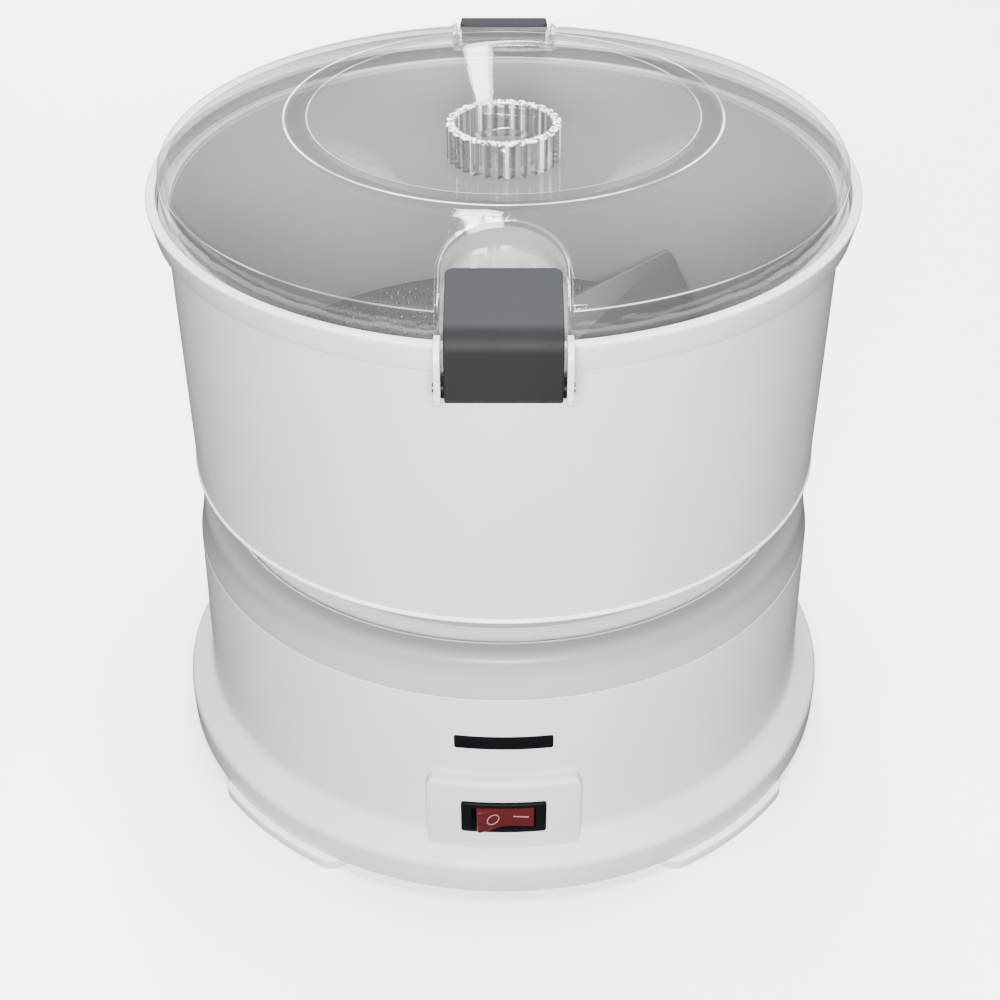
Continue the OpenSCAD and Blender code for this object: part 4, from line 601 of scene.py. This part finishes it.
# profiles are lists of (radius, height, rounding), in mm
housingSizes = {
    "shell": [(132.5, 5, 0), (135, 5, 0.6), (135, 17.4, 2.2), (124.7, 25.2, 2.6), (123.1, 91, 0.5),
              (120.6, 91, 0), (122.1, 23.7, 0), (132.5, 15, 0)],
    "box": [(121.6, 20.4, 0), (128.6, 20.4, 0), (128.6, 55, 2.4), (121.6, 55, 0)],
    "boxHalf": 28.4, "boxSpan": (20.4, 55.5), "boxCorner": 5, "boxDeep": 30, "boxEdge": 1.1,
    "window": (13.88, 6.38), "windowBack": -112, "switchLevel": 38.8,
    "inlet": ((0, 112, 52), (0, 132, 52), 7.08),
    "recess": [(122.98, 67.9, 0), (126, 67.9, 0), (126, 74, 0), (122.98, 74, 0)],
    "recessHalf": 17.98, "recessSpan": (67.92, 73.98), "recessCorner": 1, "recessDeep": 40,
    "lug": ((108, -5.5, 82), (121.6, 5.5, 86), 0.8), "lugs": (45, 135, 225, 315),
    "boss": ((126.6, 0, 7.5), (126.6, 0, 18.2), 4, 32, 0.5), "bosses": (20, 160, 200, 340),
}
level = housingSizes["switchLevel"]
housing = lathe("housingShell", housingSizes["shell"])
switchBox = drumPlate("switchBox", housingSizes["box"], housingSizes["boxHalf"], housingSizes["boxSpan"],
                      housingSizes["boxCorner"], housingSizes["boxDeep"], soft=4)
carve(housing, soften(switchBox, housingSizes["boxEdge"]), "UNION")
halfWide, halfHigh = housingSizes["window"]
carve(housing, block("window", (-halfWide, front, level - halfHigh),
                     (halfWide, housingSizes["windowBack"], level + halfHigh)))
carve(housing, rod("inletHole", *housingSizes["inlet"], 64))
stripRecess = drumPlate("stripRecess", housingSizes["recess"], housingSizes["recessHalf"],
                        housingSizes["recessSpan"], housingSizes["recessCorner"], housingSizes["recessDeep"])
carve(housing, stripRecess)
lug = block("deckLug", *housingSizes["lug"])
boss = rod("plateBoss", *housingSizes["boss"])
housing = joined(housing, spread(lug, housingSizes["lugs"]), spread(boss, housingSizes["bosses"]))
done(housing, "base", finishes["white_plastic"], ("housing",))
print("housing done")

deckSizes = {
    "shell": [(120.3, 86.2, 0), (120.3, 91.3, 0), (123.1, 91.3, 0.4), (121.75, 97.9, 3), (120.35, 108.3, 5.6),
              (111.6, 108.3, 0.5), (111.6, 106.6, 0.4), (102.3, 106.6, 0.8), (102.3, 99.6, 1.2),
              (15.9, 99.6, 1.5), (15.9, 134, 1), (7.4, 134, 0.5), (7.4, 131.6, 0), (12.5, 131.6, 0),
              (12.5, 97.2, 0), (104.7, 97.2, 0), (104.7, 104.2, 0), (109.2, 104.2, 0), (112, 105.9, 0),
              (116.2, 104.9, 0), (117.9, 93, 0), (117.9, 86.2, 0)],
    "tab": [(98.2, 103.3, 0.5), (103.3, 103.3, 0), (103.3, 106.6, 0), (98.2, 106.6, 0.6)],
    "tabWide": 20, "tabs": (0, 90, 180, 270),
    "post": ((100, 0, 32), (100, 0, 98), 5, 32, 0.6), "posts": (60, 120, 240, 300),
    "sleeve": ((112.6, 0, 86.2), (112.6, 0, 105), 4.2, 32, 0.5), "sleeves": (45, 135, 225, 315),
}
deck = lathe("deckShell", deckSizes["shell"])
tab = lugLathe("bayonetTab", deckSizes["tab"], deckSizes["tabWide"])
post = rod("chassisPost", *deckSizes["post"])
sleeve = rod("screwSleeve", *deckSizes["sleeve"])
deck = joined(deck, spread(tab, deckSizes["tabs"]), spread(post, deckSizes["posts"]),
              spread(sleeve, deckSizes["sleeves"]))
done(deck, "base", finishes["deckPlastic"], ("top_deck",))
print("deck done")

padSizes = {"outer": 137.5, "inner": 121.0, "half": 11.25, "height": 5, "edge": 0.8,
            "places": (-132, -48, 48, 132)}
padHalf = padSizes["half"]
padMiddle = (padSizes["outer"] + padSizes["inner"]) / 2
padRound = (padSizes["outer"] - padSizes["inner"]) / 2
padEnd = (padMiddle * math.cos(math.radians(padHalf)), padMiddle * math.sin(math.radians(padHalf)))
padLine = (arcPath(0, 0, padSizes["outer"], -padHalf, padHalf, 14)[:-1]
           + arcPath(padEnd[0], padEnd[1], padRound, padHalf, padHalf + 180, 16)[:-1]
           + arcPath(0, 0, padSizes["inner"], padHalf, -padHalf, 14)[:-1]
           + arcPath(padEnd[0], -padEnd[1], padRound, 180 - padHalf, 360 - padHalf, 16)[:-1])
pads = prism("footPads", [(a, b, 0) for a, b in padLine], (0, 0, padSizes["height"]))
pads = spread(soften(pads, padSizes["edge"], segments=4), padSizes["places"])
done(pads, "base", finishes["foot_rubber"], ("foot_pads",))

stripSizes = {"ring": [(122.99, 66, 0), (123.93, 66, 0), (123.93, 76, 0), (122.99, 76, 0)],
              "half": 17.9, "span": (68, 73.9), "corner": 0.9, "deep": 40, "edge": 0.14}
strip = drumPlate("plainStrip", stripSizes["ring"], stripSizes["half"], stripSizes["span"],
                  stripSizes["corner"], stripSizes["deep"])
soften(strip, stripSizes["edge"], segments=2)
done(strip, "base", finishes["black_gloss"], ("badge_strip",))

switchSizes = {
    "ring": [(128.62, 28, 0), (130, 28, 0), (130, 50, 0), (128.62, 50, 0)],
    "half": 15.7, "high": 7.2, "corner": 1.2, "deep": 30, "edge": 0.35,
    "body": (13.8, 6.3), "bodyDeep": (-128.9, -105), "bodyEdge": 0.5,
    "cavity": (11.8, 5.4), "cavityBack": -107, "cavityEdge": 0.4,
}
bezel = drumPlate("switchBezel", switchSizes["ring"], switchSizes["half"],
                  (level - switchSizes["high"], level + switchSizes["high"]),
                  switchSizes["corner"], switchSizes["deep"])
soften(bezel, switchSizes["edge"])
halfWide, halfHigh = switchSizes["body"]
bodyFront, bodyBack = switchSizes["bodyDeep"]
carve(bezel, block("switchBody", (-halfWide, bodyFront, level - halfHigh),
                   (halfWide, bodyBack, level + halfHigh), switchSizes["bodyEdge"]), "UNION")
halfWide, halfHigh = switchSizes["cavity"]
carve(bezel, block("switchCavity", (-halfWide, front, level - halfHigh),
                   (halfWide, switchSizes["cavityBack"], level + halfHigh), switchSizes["cavityEdge"]))
done(bezel, "base", finishes["black_plastic"], ("switch_frame",))

# the rocker seen from above: its two wings, then the stem that works the contacts
rockerSizes = {
    "outline": [(-10.7, -5.5, 1.7), (0, -3.1, 3), (10.7, -5.5, 1.3), (10.75, -1.5, 0.5), (10, 2, 0.5),
                (3.4, 5, 0.5), (1.6, 11, 0.3), (-1.6, 11, 0.3), (-3.4, 5, 0.5), (-10, 2, 0.5),
                (-10.75, -1.5, 0.5)],
    "pivot": -125.4, "tilt": 10, "high": 5.1, "edge": 0.55,
}
pivot = (0, rockerSizes["pivot"], level)
rockerLine = softPath(rockerSizes["outline"])
rocker = prism("rockerKey", [(a, b + pivot[1], level - rockerSizes["high"]) for a, b in rockerLine],
               (0, 0, 2 * rockerSizes["high"]))
soften(rocker, rockerSizes["edge"], 42, 4)
turned(rocker, rockerSizes["tilt"], center=pivot)
done(rocker, "rocker", finishes["red_plastic"], ("rocker",))

markSizes = {"ring": 2.3, "line": 0.26, "ringPlace": (-4.7, -4.02), "bar": (2.9, 0.18, 0.27), "barEdge": 0.1,
             "barPlace": (5.7, -4.32), "lean": 12.6}
clearPick()
bpy.ops.mesh.primitive_torus_add(major_radius=markSizes["ring"] * mm, minor_radius=markSizes["line"] * mm,
                                 major_segments=48, minor_segments=10, rotation=(math.radians(90), 0, 0))
offMark = bpy.context.object
offMark.name = "rockerMarks"
bpy.ops.object.transform_apply(rotation=True)
ringX, ringY = markSizes["ringPlace"]
moved(turned(offMark, markSizes["lean"]), (ringX, ringY + pivot[1], level))
bar = Vector(markSizes["bar"])
onMark = block("onMark", -bar, bar, markSizes["barEdge"])
barX, barY = markSizes["barPlace"]
moved(turned(onMark, -markSizes["lean"]), (barX, barY + pivot[1], level))
marks = turned(joined(offMark, onMark), rockerSizes["tilt"], center=pivot)
done(marks, "rocker", finishes["mark_ink"], ("rocker_marks",))
print("switch done")


bowlSizes = {
    "shell": [(16.5, 123.7, 0), (118.4, 123.7, 2.2), (121.2, 125.0, 0.3), (121.95, 125.2, 0.4),
              (121.95, 126.1, 0.4), (121.36, 126.6, 0.3), (121.8, 231, 0.5), (119.3, 231, 0.5),
              (118.8, 126.7, 5.6), (19, 126.7, 1.6), (19, 139.7, 0.8), (16.5, 139.7, 0.5)],
    "foot": [(95, 99.8, 0.4), (97.6, 99.8, 0.4), (97.6, 107.2, 0.2), (104.2, 107.2, 0.3),
             (104.2, 108.2, 0.4), (97.6, 108.4, 0.4), (97.6, 124.2, 0), (95, 124.2, 0)],
    "lug": [(96.6, 100.2, 0), (101.7, 100.2, 0.5), (101.7, 102.8, 0.5), (96.6, 102.8, 0)],
    "lugWide": 20, "lugs": (0, 90, 180, 270),
    "web": ((81, -1, 118.7), (95.6, 1, 124), 0.4), "webs": [22.5 + 45 * i for i in range(8)],
}
bowl = lathe("bowlShell", bowlSizes["shell"])
footRing = lathe("footRing", bowlSizes["foot"])
lockLug = lugLathe("lockLug", bowlSizes["lug"], bowlSizes["lugWide"])
web = block("bowlWeb", *bowlSizes["web"])
bowl = joined(bowl, footRing, spread(lockLug, bowlSizes["lugs"]), spread(web, bowlSizes["webs"]))
done(bowl, "bowl", finishes["bowl_plastic"], ("bowl",))

collarSizes = {
    "ring": [(122.15, 226.5, 0), (125.7, 226.5, 0.8), (128, 237, 1.4), (123.9, 237, 0.8), (123.9, 231.1, 0),
             (122.15, 231.1, 0)],
    "ear": [(121.0, 219.5, 0.5), (134.3, 219.5, 3), (134.3, 239.5, 5), (122.8, 239.5, 2), (122.8, 231.1, 0),
            (121.0, 231.1, 0)],
    "earFrom": 19, "earThick": 2.1, "earPitch": 40.1, "earEdge": 0.45,
}
collar = lathe("rimCollar", collarSizes["ring"])
earLine = softPath(collarSizes["ear"])
ear = prism("clipEar", [(collarSizes["earFrom"], -a, b) for a, b in earLine], (collarSizes["earThick"], 0, 0))
soften(ear, collarSizes["earEdge"], 45)
ears = joined(ear, moved(copied(ear), (-collarSizes["earPitch"], 0, 0)))
collar = joined(collar, spread(ears, (0, 180)))
done(collar, "bowl", finishes["collarPlastic"], ("rim_collar",))

bushSizes = {"ring": [(1.55, 0.05, 0), (3.3, 0.05, 0.2), (3.3, 1.05, 0.2), (1.55, 1.05, 0)],
             "starts": (-19.0, 17.9), "pin": (131.3, 225.5)}
bush = turned(lathe("pinBush", bushSizes["ring"], steps=40), 90, "Y")
pinOut, pinLevel = bushSizes["pin"]
bushes = [moved(copied(bush), (start, side * pinOut, pinLevel)) for side in (-1, 1)
          for start in bushSizes["starts"]]
bpy.data.objects.remove(bush)
bushes = joined(*bushes)
bushes.name = "pinBushes"
done(bushes, "bowl", finishes["black_plastic"])
print("bowl done")


clipSizes = {
    "half": 17.9, "out": 136.4, "thick": 3, "bend": (130.4, 240), "outer": 6, "inner": 3, "slope": 15,
    "tip": 106, "tipMargin": 1.2, "low": 221.9, "pin": (131.3, 225.5), "knuckle": 3.2, "corner": 2.6,
    "lip": (1.8, 2.3), "edge": 0.55, "hook": ((-12.9, -111.5, 245), (12.9, -108.5, 249.4), 0.5),
}
clipHalf = clipSizes["half"]
bendY, bendZ = clipSizes["bend"]
lean = math.radians(clipSizes["slope"])
top = 90 - clipSizes["slope"]
legLength = (bendY + clipSizes["outer"] * math.sin(lean) - clipSizes["tip"]) / math.cos(lean)
run = Vector((-legLength * math.cos(lean), legLength * math.sin(lean)))
outerBend = arcPath(bendY, bendZ, clipSizes["outer"], 0, top, 14)
innerBend = arcPath(bendY, bendZ, clipSizes["inner"], top, 0, 10)
lipDeep, lipHigh = clipSizes["lip"]
# the side view, from the lip up round the bend to the tip and back down inside
sideLine = [(clipSizes["out"] - lipDeep, clipSizes["low"]), (clipSizes["out"], clipSizes["low"] + lipHigh)]
sideLine += outerBend + [tuple(Vector(outerBend[-1]) + run), tuple(Vector(innerBend[0]) + run)] + innerBend
sideLine += [(clipSizes["out"] - clipSizes["thick"], clipSizes["low"])]
clip = prism("frontClip", [(-clipHalf, -a, b) for a, b in sideLine], (2 * clipHalf, 0, 0))
edit(clip)
tipEdge = -(clipSizes["tip"] + clipSizes["tipMargin"]) * mm


def tipCorner(edge):
    # an upright edge at the tip, where the clip's two corners are rounded
    first, second = edge.verts
    return first.co.y > tipEdge and second.co.y > tipEdge and abs(first.co.x - second.co.x) < 1e-6


choose(clip, "EDGE", tipCorner)
bpy.ops.mesh.bevel(offset=clipSizes["corner"] * mm, segments=8, affect="EDGES")
bpy.ops.object.mode_set(mode="OBJECT")
soften(clip, clipSizes["edge"], 45, 4)
pinOut, pinLevel = clipSizes["pin"]
knuckle = rod("clipKnuckle", (-clipHalf, -pinOut, pinLevel), (clipHalf, -pinOut, pinLevel),
              clipSizes["knuckle"], soft=0.3)
hook = block("clipHook", *clipSizes["hook"])
clip = joined(clip, knuckle, hook)
backClip = turned(copied(clip), 180)
backClip.name = "backClip"
done(clip, "front_clip", finishes["clip_plastic"], ("front_clip",))
done(backClip, "back_clip", finishes["clip_plastic"], ("back_clip",))
print("clips done")


lidSizes = {
    "shell": [(0, 232.6, 0), (122.7, 232.6, 0), (122.7, 246.5, 2.4), (77.6, 259.8, 3.2), (69.0, 260.0, 3.0),
              (42, 242.1, 3.5), (0, 242.1, 0)],
    "hollow": [(0, 226, 0), (120.4, 226, 0), (120.4, 244.6, 1.2), (77.0, 257.3, 1.5), (69.8, 257.5, 1.5),
               (40.8, 239.7, 2.0), (0, 239.7, 0)],
    "radius": 122.7, "crest": 78, "shoulder": 246.5, "top": 259.7, "wall": 2.3, "edge": 0.4,
    "pocketHalf": 19.3, "pocketMid": 105.3, "depth": 6.6, "bead": 1.6, "beadHigh": 0.8,
    "toolOut": -128, "toolHigh": 40, "pocketLow": 228, "pocketReach": 131.7, "beadLow": 236,
    "floorLow": 220, "beadFloor": 234,
}
lidSlope = (lidSizes["top"] - lidSizes["shoulder"]) / (lidSizes["radius"] - lidSizes["crest"])


def underSlope(name, reach, low, rise):
    # solid under the lid's slope, the slope moved up by rise
    edge = lidSizes["shoulder"] + (lidSizes["radius"] - reach) * lidSlope + rise
    crest = lidSizes["top"] + rise
    return lathe(name, [(0, low, 0), (reach, low, 0), (reach, edge, 0), (lidSizes["crest"], crest, 0),
                        (0, crest, 0)])


def archPrism(name, grow, low):
    # a clip's pocket seen from above: straight sides and a round end, its walls moved out by grow
    half = lidSizes["pocketHalf"] + grow
    line = [(-half, lidSizes["toolOut"]), (half, lidSizes["toolOut"])]
    line += arcPath(0, -lidSizes["pocketMid"], half, 0, 180, 40)
    return prism(name, [(a, b, low) for a, b in line], (0, 0, lidSizes["toolHigh"]))


def pocketTool(grow, rise, back):
    # what a clip's pocket takes out of the lid, with its floor moved by rise
    tool = archPrism("pocketTool", grow, lidSizes["pocketLow"])
    carve(tool, underSlope("pocketFloor", lidSizes["pocketReach"], lidSizes["floorLow"], rise))
    return turned(tool, 180) if back else tool


def beadTool(back):
    tool = archPrism("beadTool", lidSizes["bead"], lidSizes["beadLow"])
    carve(tool, underSlope("beadTop", lidSizes["radius"], lidSizes["beadFloor"], lidSizes["beadHigh"]),
          "INTERSECT")
    return turned(tool, 180) if back else tool


lid = lathe("clearLid", lidSizes["shell"])
hollow = lathe("lidHollow", lidSizes["hollow"])
for back in (False, True):
    carve(lid, beadTool(back), "UNION")
    carve(lid, pocketTool(0, -lidSizes["depth"], back))
    carve(hollow, pocketTool(lidSizes["wall"] * 0.8, -lidSizes["depth"] - lidSizes["wall"], back))
carve(lid, hollow)
soften(lid, lidSizes["edge"], 38)
done(lid, "lid", finishes["clear_plastic"], ("lid",), angle=30)
print("lid done")

knobSizes = {
    "radius": 20.5, "high": 12.96, "from": 242.14, "edge": 0.4,
    "flutes": 28, "flute": 1.4, "fluteOut": 0.3, "fluteArc": (258, 102), "landGap": 0.6,
    "bore": [(0, 244.5, 0), (17.5, 244.5, 1.2), (17.5, 260, 0), (0, 260, 0)],
}
knobLine = []
pitch = 360 / knobSizes["flutes"]
knobRadius = knobSizes["radius"]
middle = knobRadius + knobSizes["fluteOut"]
fluteCos = (knobRadius ** 2 + middle ** 2 - knobSizes["flute"] ** 2) / (2 * knobRadius * middle)
landStart = math.degrees(math.acos(fluteCos))
landGap = knobSizes["landGap"]
arcStart, arcEnd = knobSizes["fluteArc"]
for i in range(knobSizes["flutes"]):
    at = math.radians(i * pitch)
    # the flute's hollow, then the land up to the next flute
    knobLine += arcPath(middle * math.cos(at), middle * math.sin(at), knobSizes["flute"],
                        i * pitch + arcStart, i * pitch + arcEnd, 6)
    knobLine += arcPath(0, 0, knobRadius, i * pitch + landStart + landGap,
                        (i + 1) * pitch - landStart - landGap, 3)
knob = prism("lidKnob", [(a, b, knobSizes["from"]) for a, b in knobLine], (0, 0, knobSizes["high"]))
carve(knob, lathe("knobBore", knobSizes["bore"], soft=4))
soften(knob, knobSizes["edge"], 50)
done(knob, "lid", finishes["knobPlastic"], ("lid_knob",), angle=30)

# the flange under the lid, the shank, and a low dished head inside the knob
rivetSizes = {
    "profile": [(0, 238.5, 0), (3.8, 238.5, 0.4), (3.8, 239.65, 0.2), (2, 239.65, 0), (2, 244.52, 0),
                (5, 244.52, 0.2), (4.6, 245.22, 0.6), (2.6, 245.95, 1.2), (1.5, 245.95, 0.3),
                (1.1, 245.55, 0.2), (0, 245.55, 0)],
}
rivet = lathe("knobRivet", rivetSizes["profile"], steps=64)
done(rivet, "lid", finishes["polished_steel"], ("knob_rivet",))
print("knob done")


discSizes = {
    "plate": [(20, 129, 0), (24, 129, 0.4), (24, 131, 0), (112, 131, 0), (112, 130.6, 0), (115, 130.6, 0.3),
              (115, 134, 1.1), (24.1, 134, 2.6), (23, 152.01, 0.3), (19, 152.01, 0), (20, 134, 0)],
    "socket": [(5.5, 141.7, 0.3), (20.5, 141.7, 0), (20.5, 147.7, 0), (5.5, 147.7, 0.3)],
    "top": 134, "sink": 0.2, "ridges": (30.5, 150.5, 270.5), "offset": 41.8, "run": 30, "back": 10,
    "start": 16, "end": 107.5, "low": 6, "high": 26, "crest": 2.2, "edge": 0.9, "reach": 114, "hub": 23.6,
    "toolSpan": (120, 170),
}
disc = lathe("discPlate", discSizes["plate"])
bottom = discSizes["top"] - discSizes["sink"]
peak = discSizes["top"] + discSizes["high"]
ridgeLine = softPath([(-discSizes["run"], bottom, 0), (0, peak, discSizes["crest"]),
                      (discSizes["back"], bottom, 0)])
ridge = prism("discRidge", [(discSizes["start"], a + discSizes["offset"], b) for a, b in ridgeLine],
              (discSizes["end"] - discSizes["start"], 0, 0))
# the ridge runs down towards the hub
edit(ridge)
innerEnd = (discSizes["start"] + 1) * mm
choose(ridge, "VERT", lambda v: v.co.x < innerEnd)
bpy.ops.transform.resize(value=(1, 1, discSizes["low"] / discSizes["high"]),
                         center_override=(0, 0, bottom * mm))
bpy.ops.object.mode_set(mode="OBJECT")
toolLow, toolHigh = ((0, 0, height) for height in discSizes["toolSpan"])
carve(ridge, rod("ridgeReach", toolLow, toolHigh, discSizes["reach"], 180), "INTERSECT")
carve(ridge, rod("ridgeHub", toolLow, toolHigh, discSizes["hub"], 96))
soften(ridge, discSizes["edge"], segments=4)
socket = lathe("hexSocket", discSizes["socket"], steps=6)
disc = joined(disc, spread(ridge, discSizes["ridges"]), socket)
done(disc, "disc", finishes["disc_plastic"], ("disc",), angle=36)

# one grit bump, its copies on two grids, and only those that stand on the flat plates
bumpSizes = {"radius": 1.15, "corner": 117, "level": 134.7, "floor": 134.6, "pitch": (5.2, 9.0),
             "count": (45, 26), "inner": 31.5, "outer": 109.5, "clearance": 3, "ridgeFrom": -15}
corner = bumpSizes["corner"]
clearPick()
bpy.ops.mesh.primitive_uv_sphere_add(segments=8, ring_count=6, radius=bumpSizes["radius"] * mm,
                                     location=(-corner * mm, -corner * mm, bumpSizes["level"] * mm))
bumps = bpy.context.object
bumps.name = "gritBumps"
bpy.ops.object.transform_apply(location=True)
edit(bumps)
bpy.ops.mesh.bisect(plane_co=(0, 0, bumpSizes["floor"] * mm), plane_no=up, clear_inner=True)
bpy.ops.object.mode_set(mode="OBJECT")
stepX, stepY = bumpSizes["pitch"]
bumps = joined(bumps, moved(copied(bumps), (stepX / 2, stepY / 2, 0)))
for count, step in zip(bumpSizes["count"], ((stepX * mm, 0, 0), (0, stepY * mm, 0))):
    applied(bumps, "ARRAY", count=count, use_relative_offset=False, use_constant_offset=True,
            constant_offset_displace=step)


def gridSpot(value, step, shift):
    return (round((value + corner) / step - shift) + shift) * step - corner


def offPlate(x, y):
    # the bump's own place on the two grids, and whether it misses the flat plates
    spots = [(gridSpot(x, stepX, shift), gridSpot(y, stepY, shift)) for shift in (0, 0.5)]
    x, y = min(spots, key=lambda spot: (spot[0] - x) ** 2 + (spot[1] - y) ** 2)
    if not bumpSizes["inner"] < math.hypot(x, y) < bumpSizes["outer"]:
        return True
    gap = bumpSizes["clearance"]
    for angle in discSizes["ridges"]:
        turn = math.radians(angle)
        along = x * math.cos(turn) + y * math.sin(turn)
        across = y * math.cos(turn) - x * math.sin(turn) - discSizes["offset"]
        if along > bumpSizes["ridgeFrom"] and -discSizes["run"] - gap < across < discSizes["back"] + gap:
            return True
    return False


edit(bumps)
choose(bumps, "FACE", lambda f: offPlate(f.calc_center_median().x / mm, f.calc_center_median().y / mm))
bpy.ops.mesh.delete(type="FACE")
bpy.ops.object.mode_set(mode="OBJECT")
done(bumps, "disc", finishes["grit_steel"], angle=80)

capSizes = {"base": 152.02, "radius": 23, "high": 5.98, "edge": 0.4, "dome": (12, 24, 36, 48, 60),
            "dish": [(10, 157.3, 0.3), (9.4, 156.9, 0.2), (0, 157.2, 0)]}
capLine = [(0, capSizes["base"], 0), (capSizes["radius"], capSizes["base"], capSizes["edge"])]
for angle in capSizes["dome"]:
    at = math.radians(angle)
    capLine.append((capSizes["radius"] * math.cos(at), capSizes["base"] + capSizes["high"] * math.sin(at), 0))
hubCap = lathe("hubCap", capLine + capSizes["dish"], steps=96)
done(hubCap, "disc", finishes["hub_plastic"], ("disc_hub_cap",))
print("disc done, bumps:", len(bumps.data.polygons))


paperSizes = {"reach": 4000, "cove": 1500, "high": 3200, "thick": 50, "glow": (0.9, 2.6),
              "level": (0.25, 1.0), "light": 2.6, "rough": 0.75,
              "dull": (0.93, 0.93, 0.93), "pale": (0.95, 0.95, 0.95)}
reach, high, thick = paperSizes["reach"], paperSizes["high"], paperSizes["thick"]
floor = lathe("floor", [(0, 0, 0), (reach, 0, paperSizes["cove"]), (reach, high, 0), (reach + thick, high, 0),
                        (reach + thick, -thick, 0), (0, -thick, 0)], steps=96, soft=16)
pick(floor)
bpy.ops.object.shade_smooth_by_angle(angle=math.radians(40))
floorPaint = Paint("floorPaper", Emission_Strength=paperSizes["light"])
paper = floorPaint.noise(60, 3.0)
floorPaint.into("Base Color", floorPaint.blend(paper, paperSizes["dull"], paperSizes["pale"]))
floorPaint.into("Roughness", paperSizes["rough"] + paper * 0.05)
# the paper glows, more where the lamps don't reach, so that it is as pale all over
farther = (floorPaint.radius() * mm).ramp(*paperSizes["glow"])
glowLow, glowHigh = paperSizes["level"]
floorPaint.into("Emission Color", floorPaint.blend(farther, (glowLow,) * 3, (glowHigh,) * 3))
floorPaint.material.cycles.emission_sampling = "NONE"
floor.data.materials.append(floorPaint.material)
# the paper takes light and shadow but throws none back, as if the object stood on a far larger table
floor.visible_diffuse = False
floor.visible_glossy = False

cameraLook = {"place": (0, -0.5556, 0.4885), "down": 35.67, "lens": 59.64, "sensor": 36, "shift": -0.0037}
bpy.ops.object.camera_add(location=cameraLook["place"],
                          rotation=(math.radians(90 - cameraLook["down"]), 0, 0))
camera = bpy.context.object
camera.data.lens = cameraLook["lens"]
camera.data.sensor_width = cameraLook["sensor"]
camera.data.shift_x = cameraLook["shift"]
bpy.context.scene.camera = camera

studio = {"world": 0.05, "key": 31, "top": 112, "strip": 18, "back": 64, "side": 12}
world = bpy.data.worlds.new("studio")
bpy.context.scene.world = world
world.use_nodes = True
sky = world.node_tree.nodes["Background"]
sky.inputs["Color"].default_value = (1, 1, 1, 1)
sky.inputs["Strength"].default_value = studio["world"]


def softLight(name, place, aim, size, power, turn=0, mirrored=True):
    # mirrored is off for a fill that the clear lid and the metal shouldn't reflect
    bpy.ops.object.light_add(type="AREA", location=place)
    lamp = bpy.context.object
    lamp.name = name
    lamp.data.shape = "RECTANGLE"
    lamp.data.size, lamp.data.size_y = size
    lamp.data.energy = power
    if aim:
        lamp.rotation_euler = (Vector(place) - Vector(aim)).to_track_quat("Z", "Y").to_euler()
    else:
        lamp.rotation_euler = (0, 0, math.radians(turn))
    lamp.visible_glossy = mirrored


softLight("keyLight", (-0.02, -0.85, 0.54), (0, 0, 0.12), (0.36, 0.30), studio["key"])
softLight("topLight", (0.0, 0.0, 2.4), (0, 0, 0), (0.8, 0.8), studio["top"], mirrored=False)
softLight("stripLight", (0.088, 0.35, 1.5), None, (0.12, 1.0), studio["strip"], turn=23)
softLight("backLight", (-0.2, 1.5, 1.0), (0, 0, 0.10), (1.0, 0.8), studio["back"], mirrored=False)
for side in (-1, 1):
    softLight("sideLight", (side * 1.1, 0.9, 0.6), (0, 0, 0.12), (0.7, 0.7), studio["side"], mirrored=False)
print("floor, camera and lamps done")
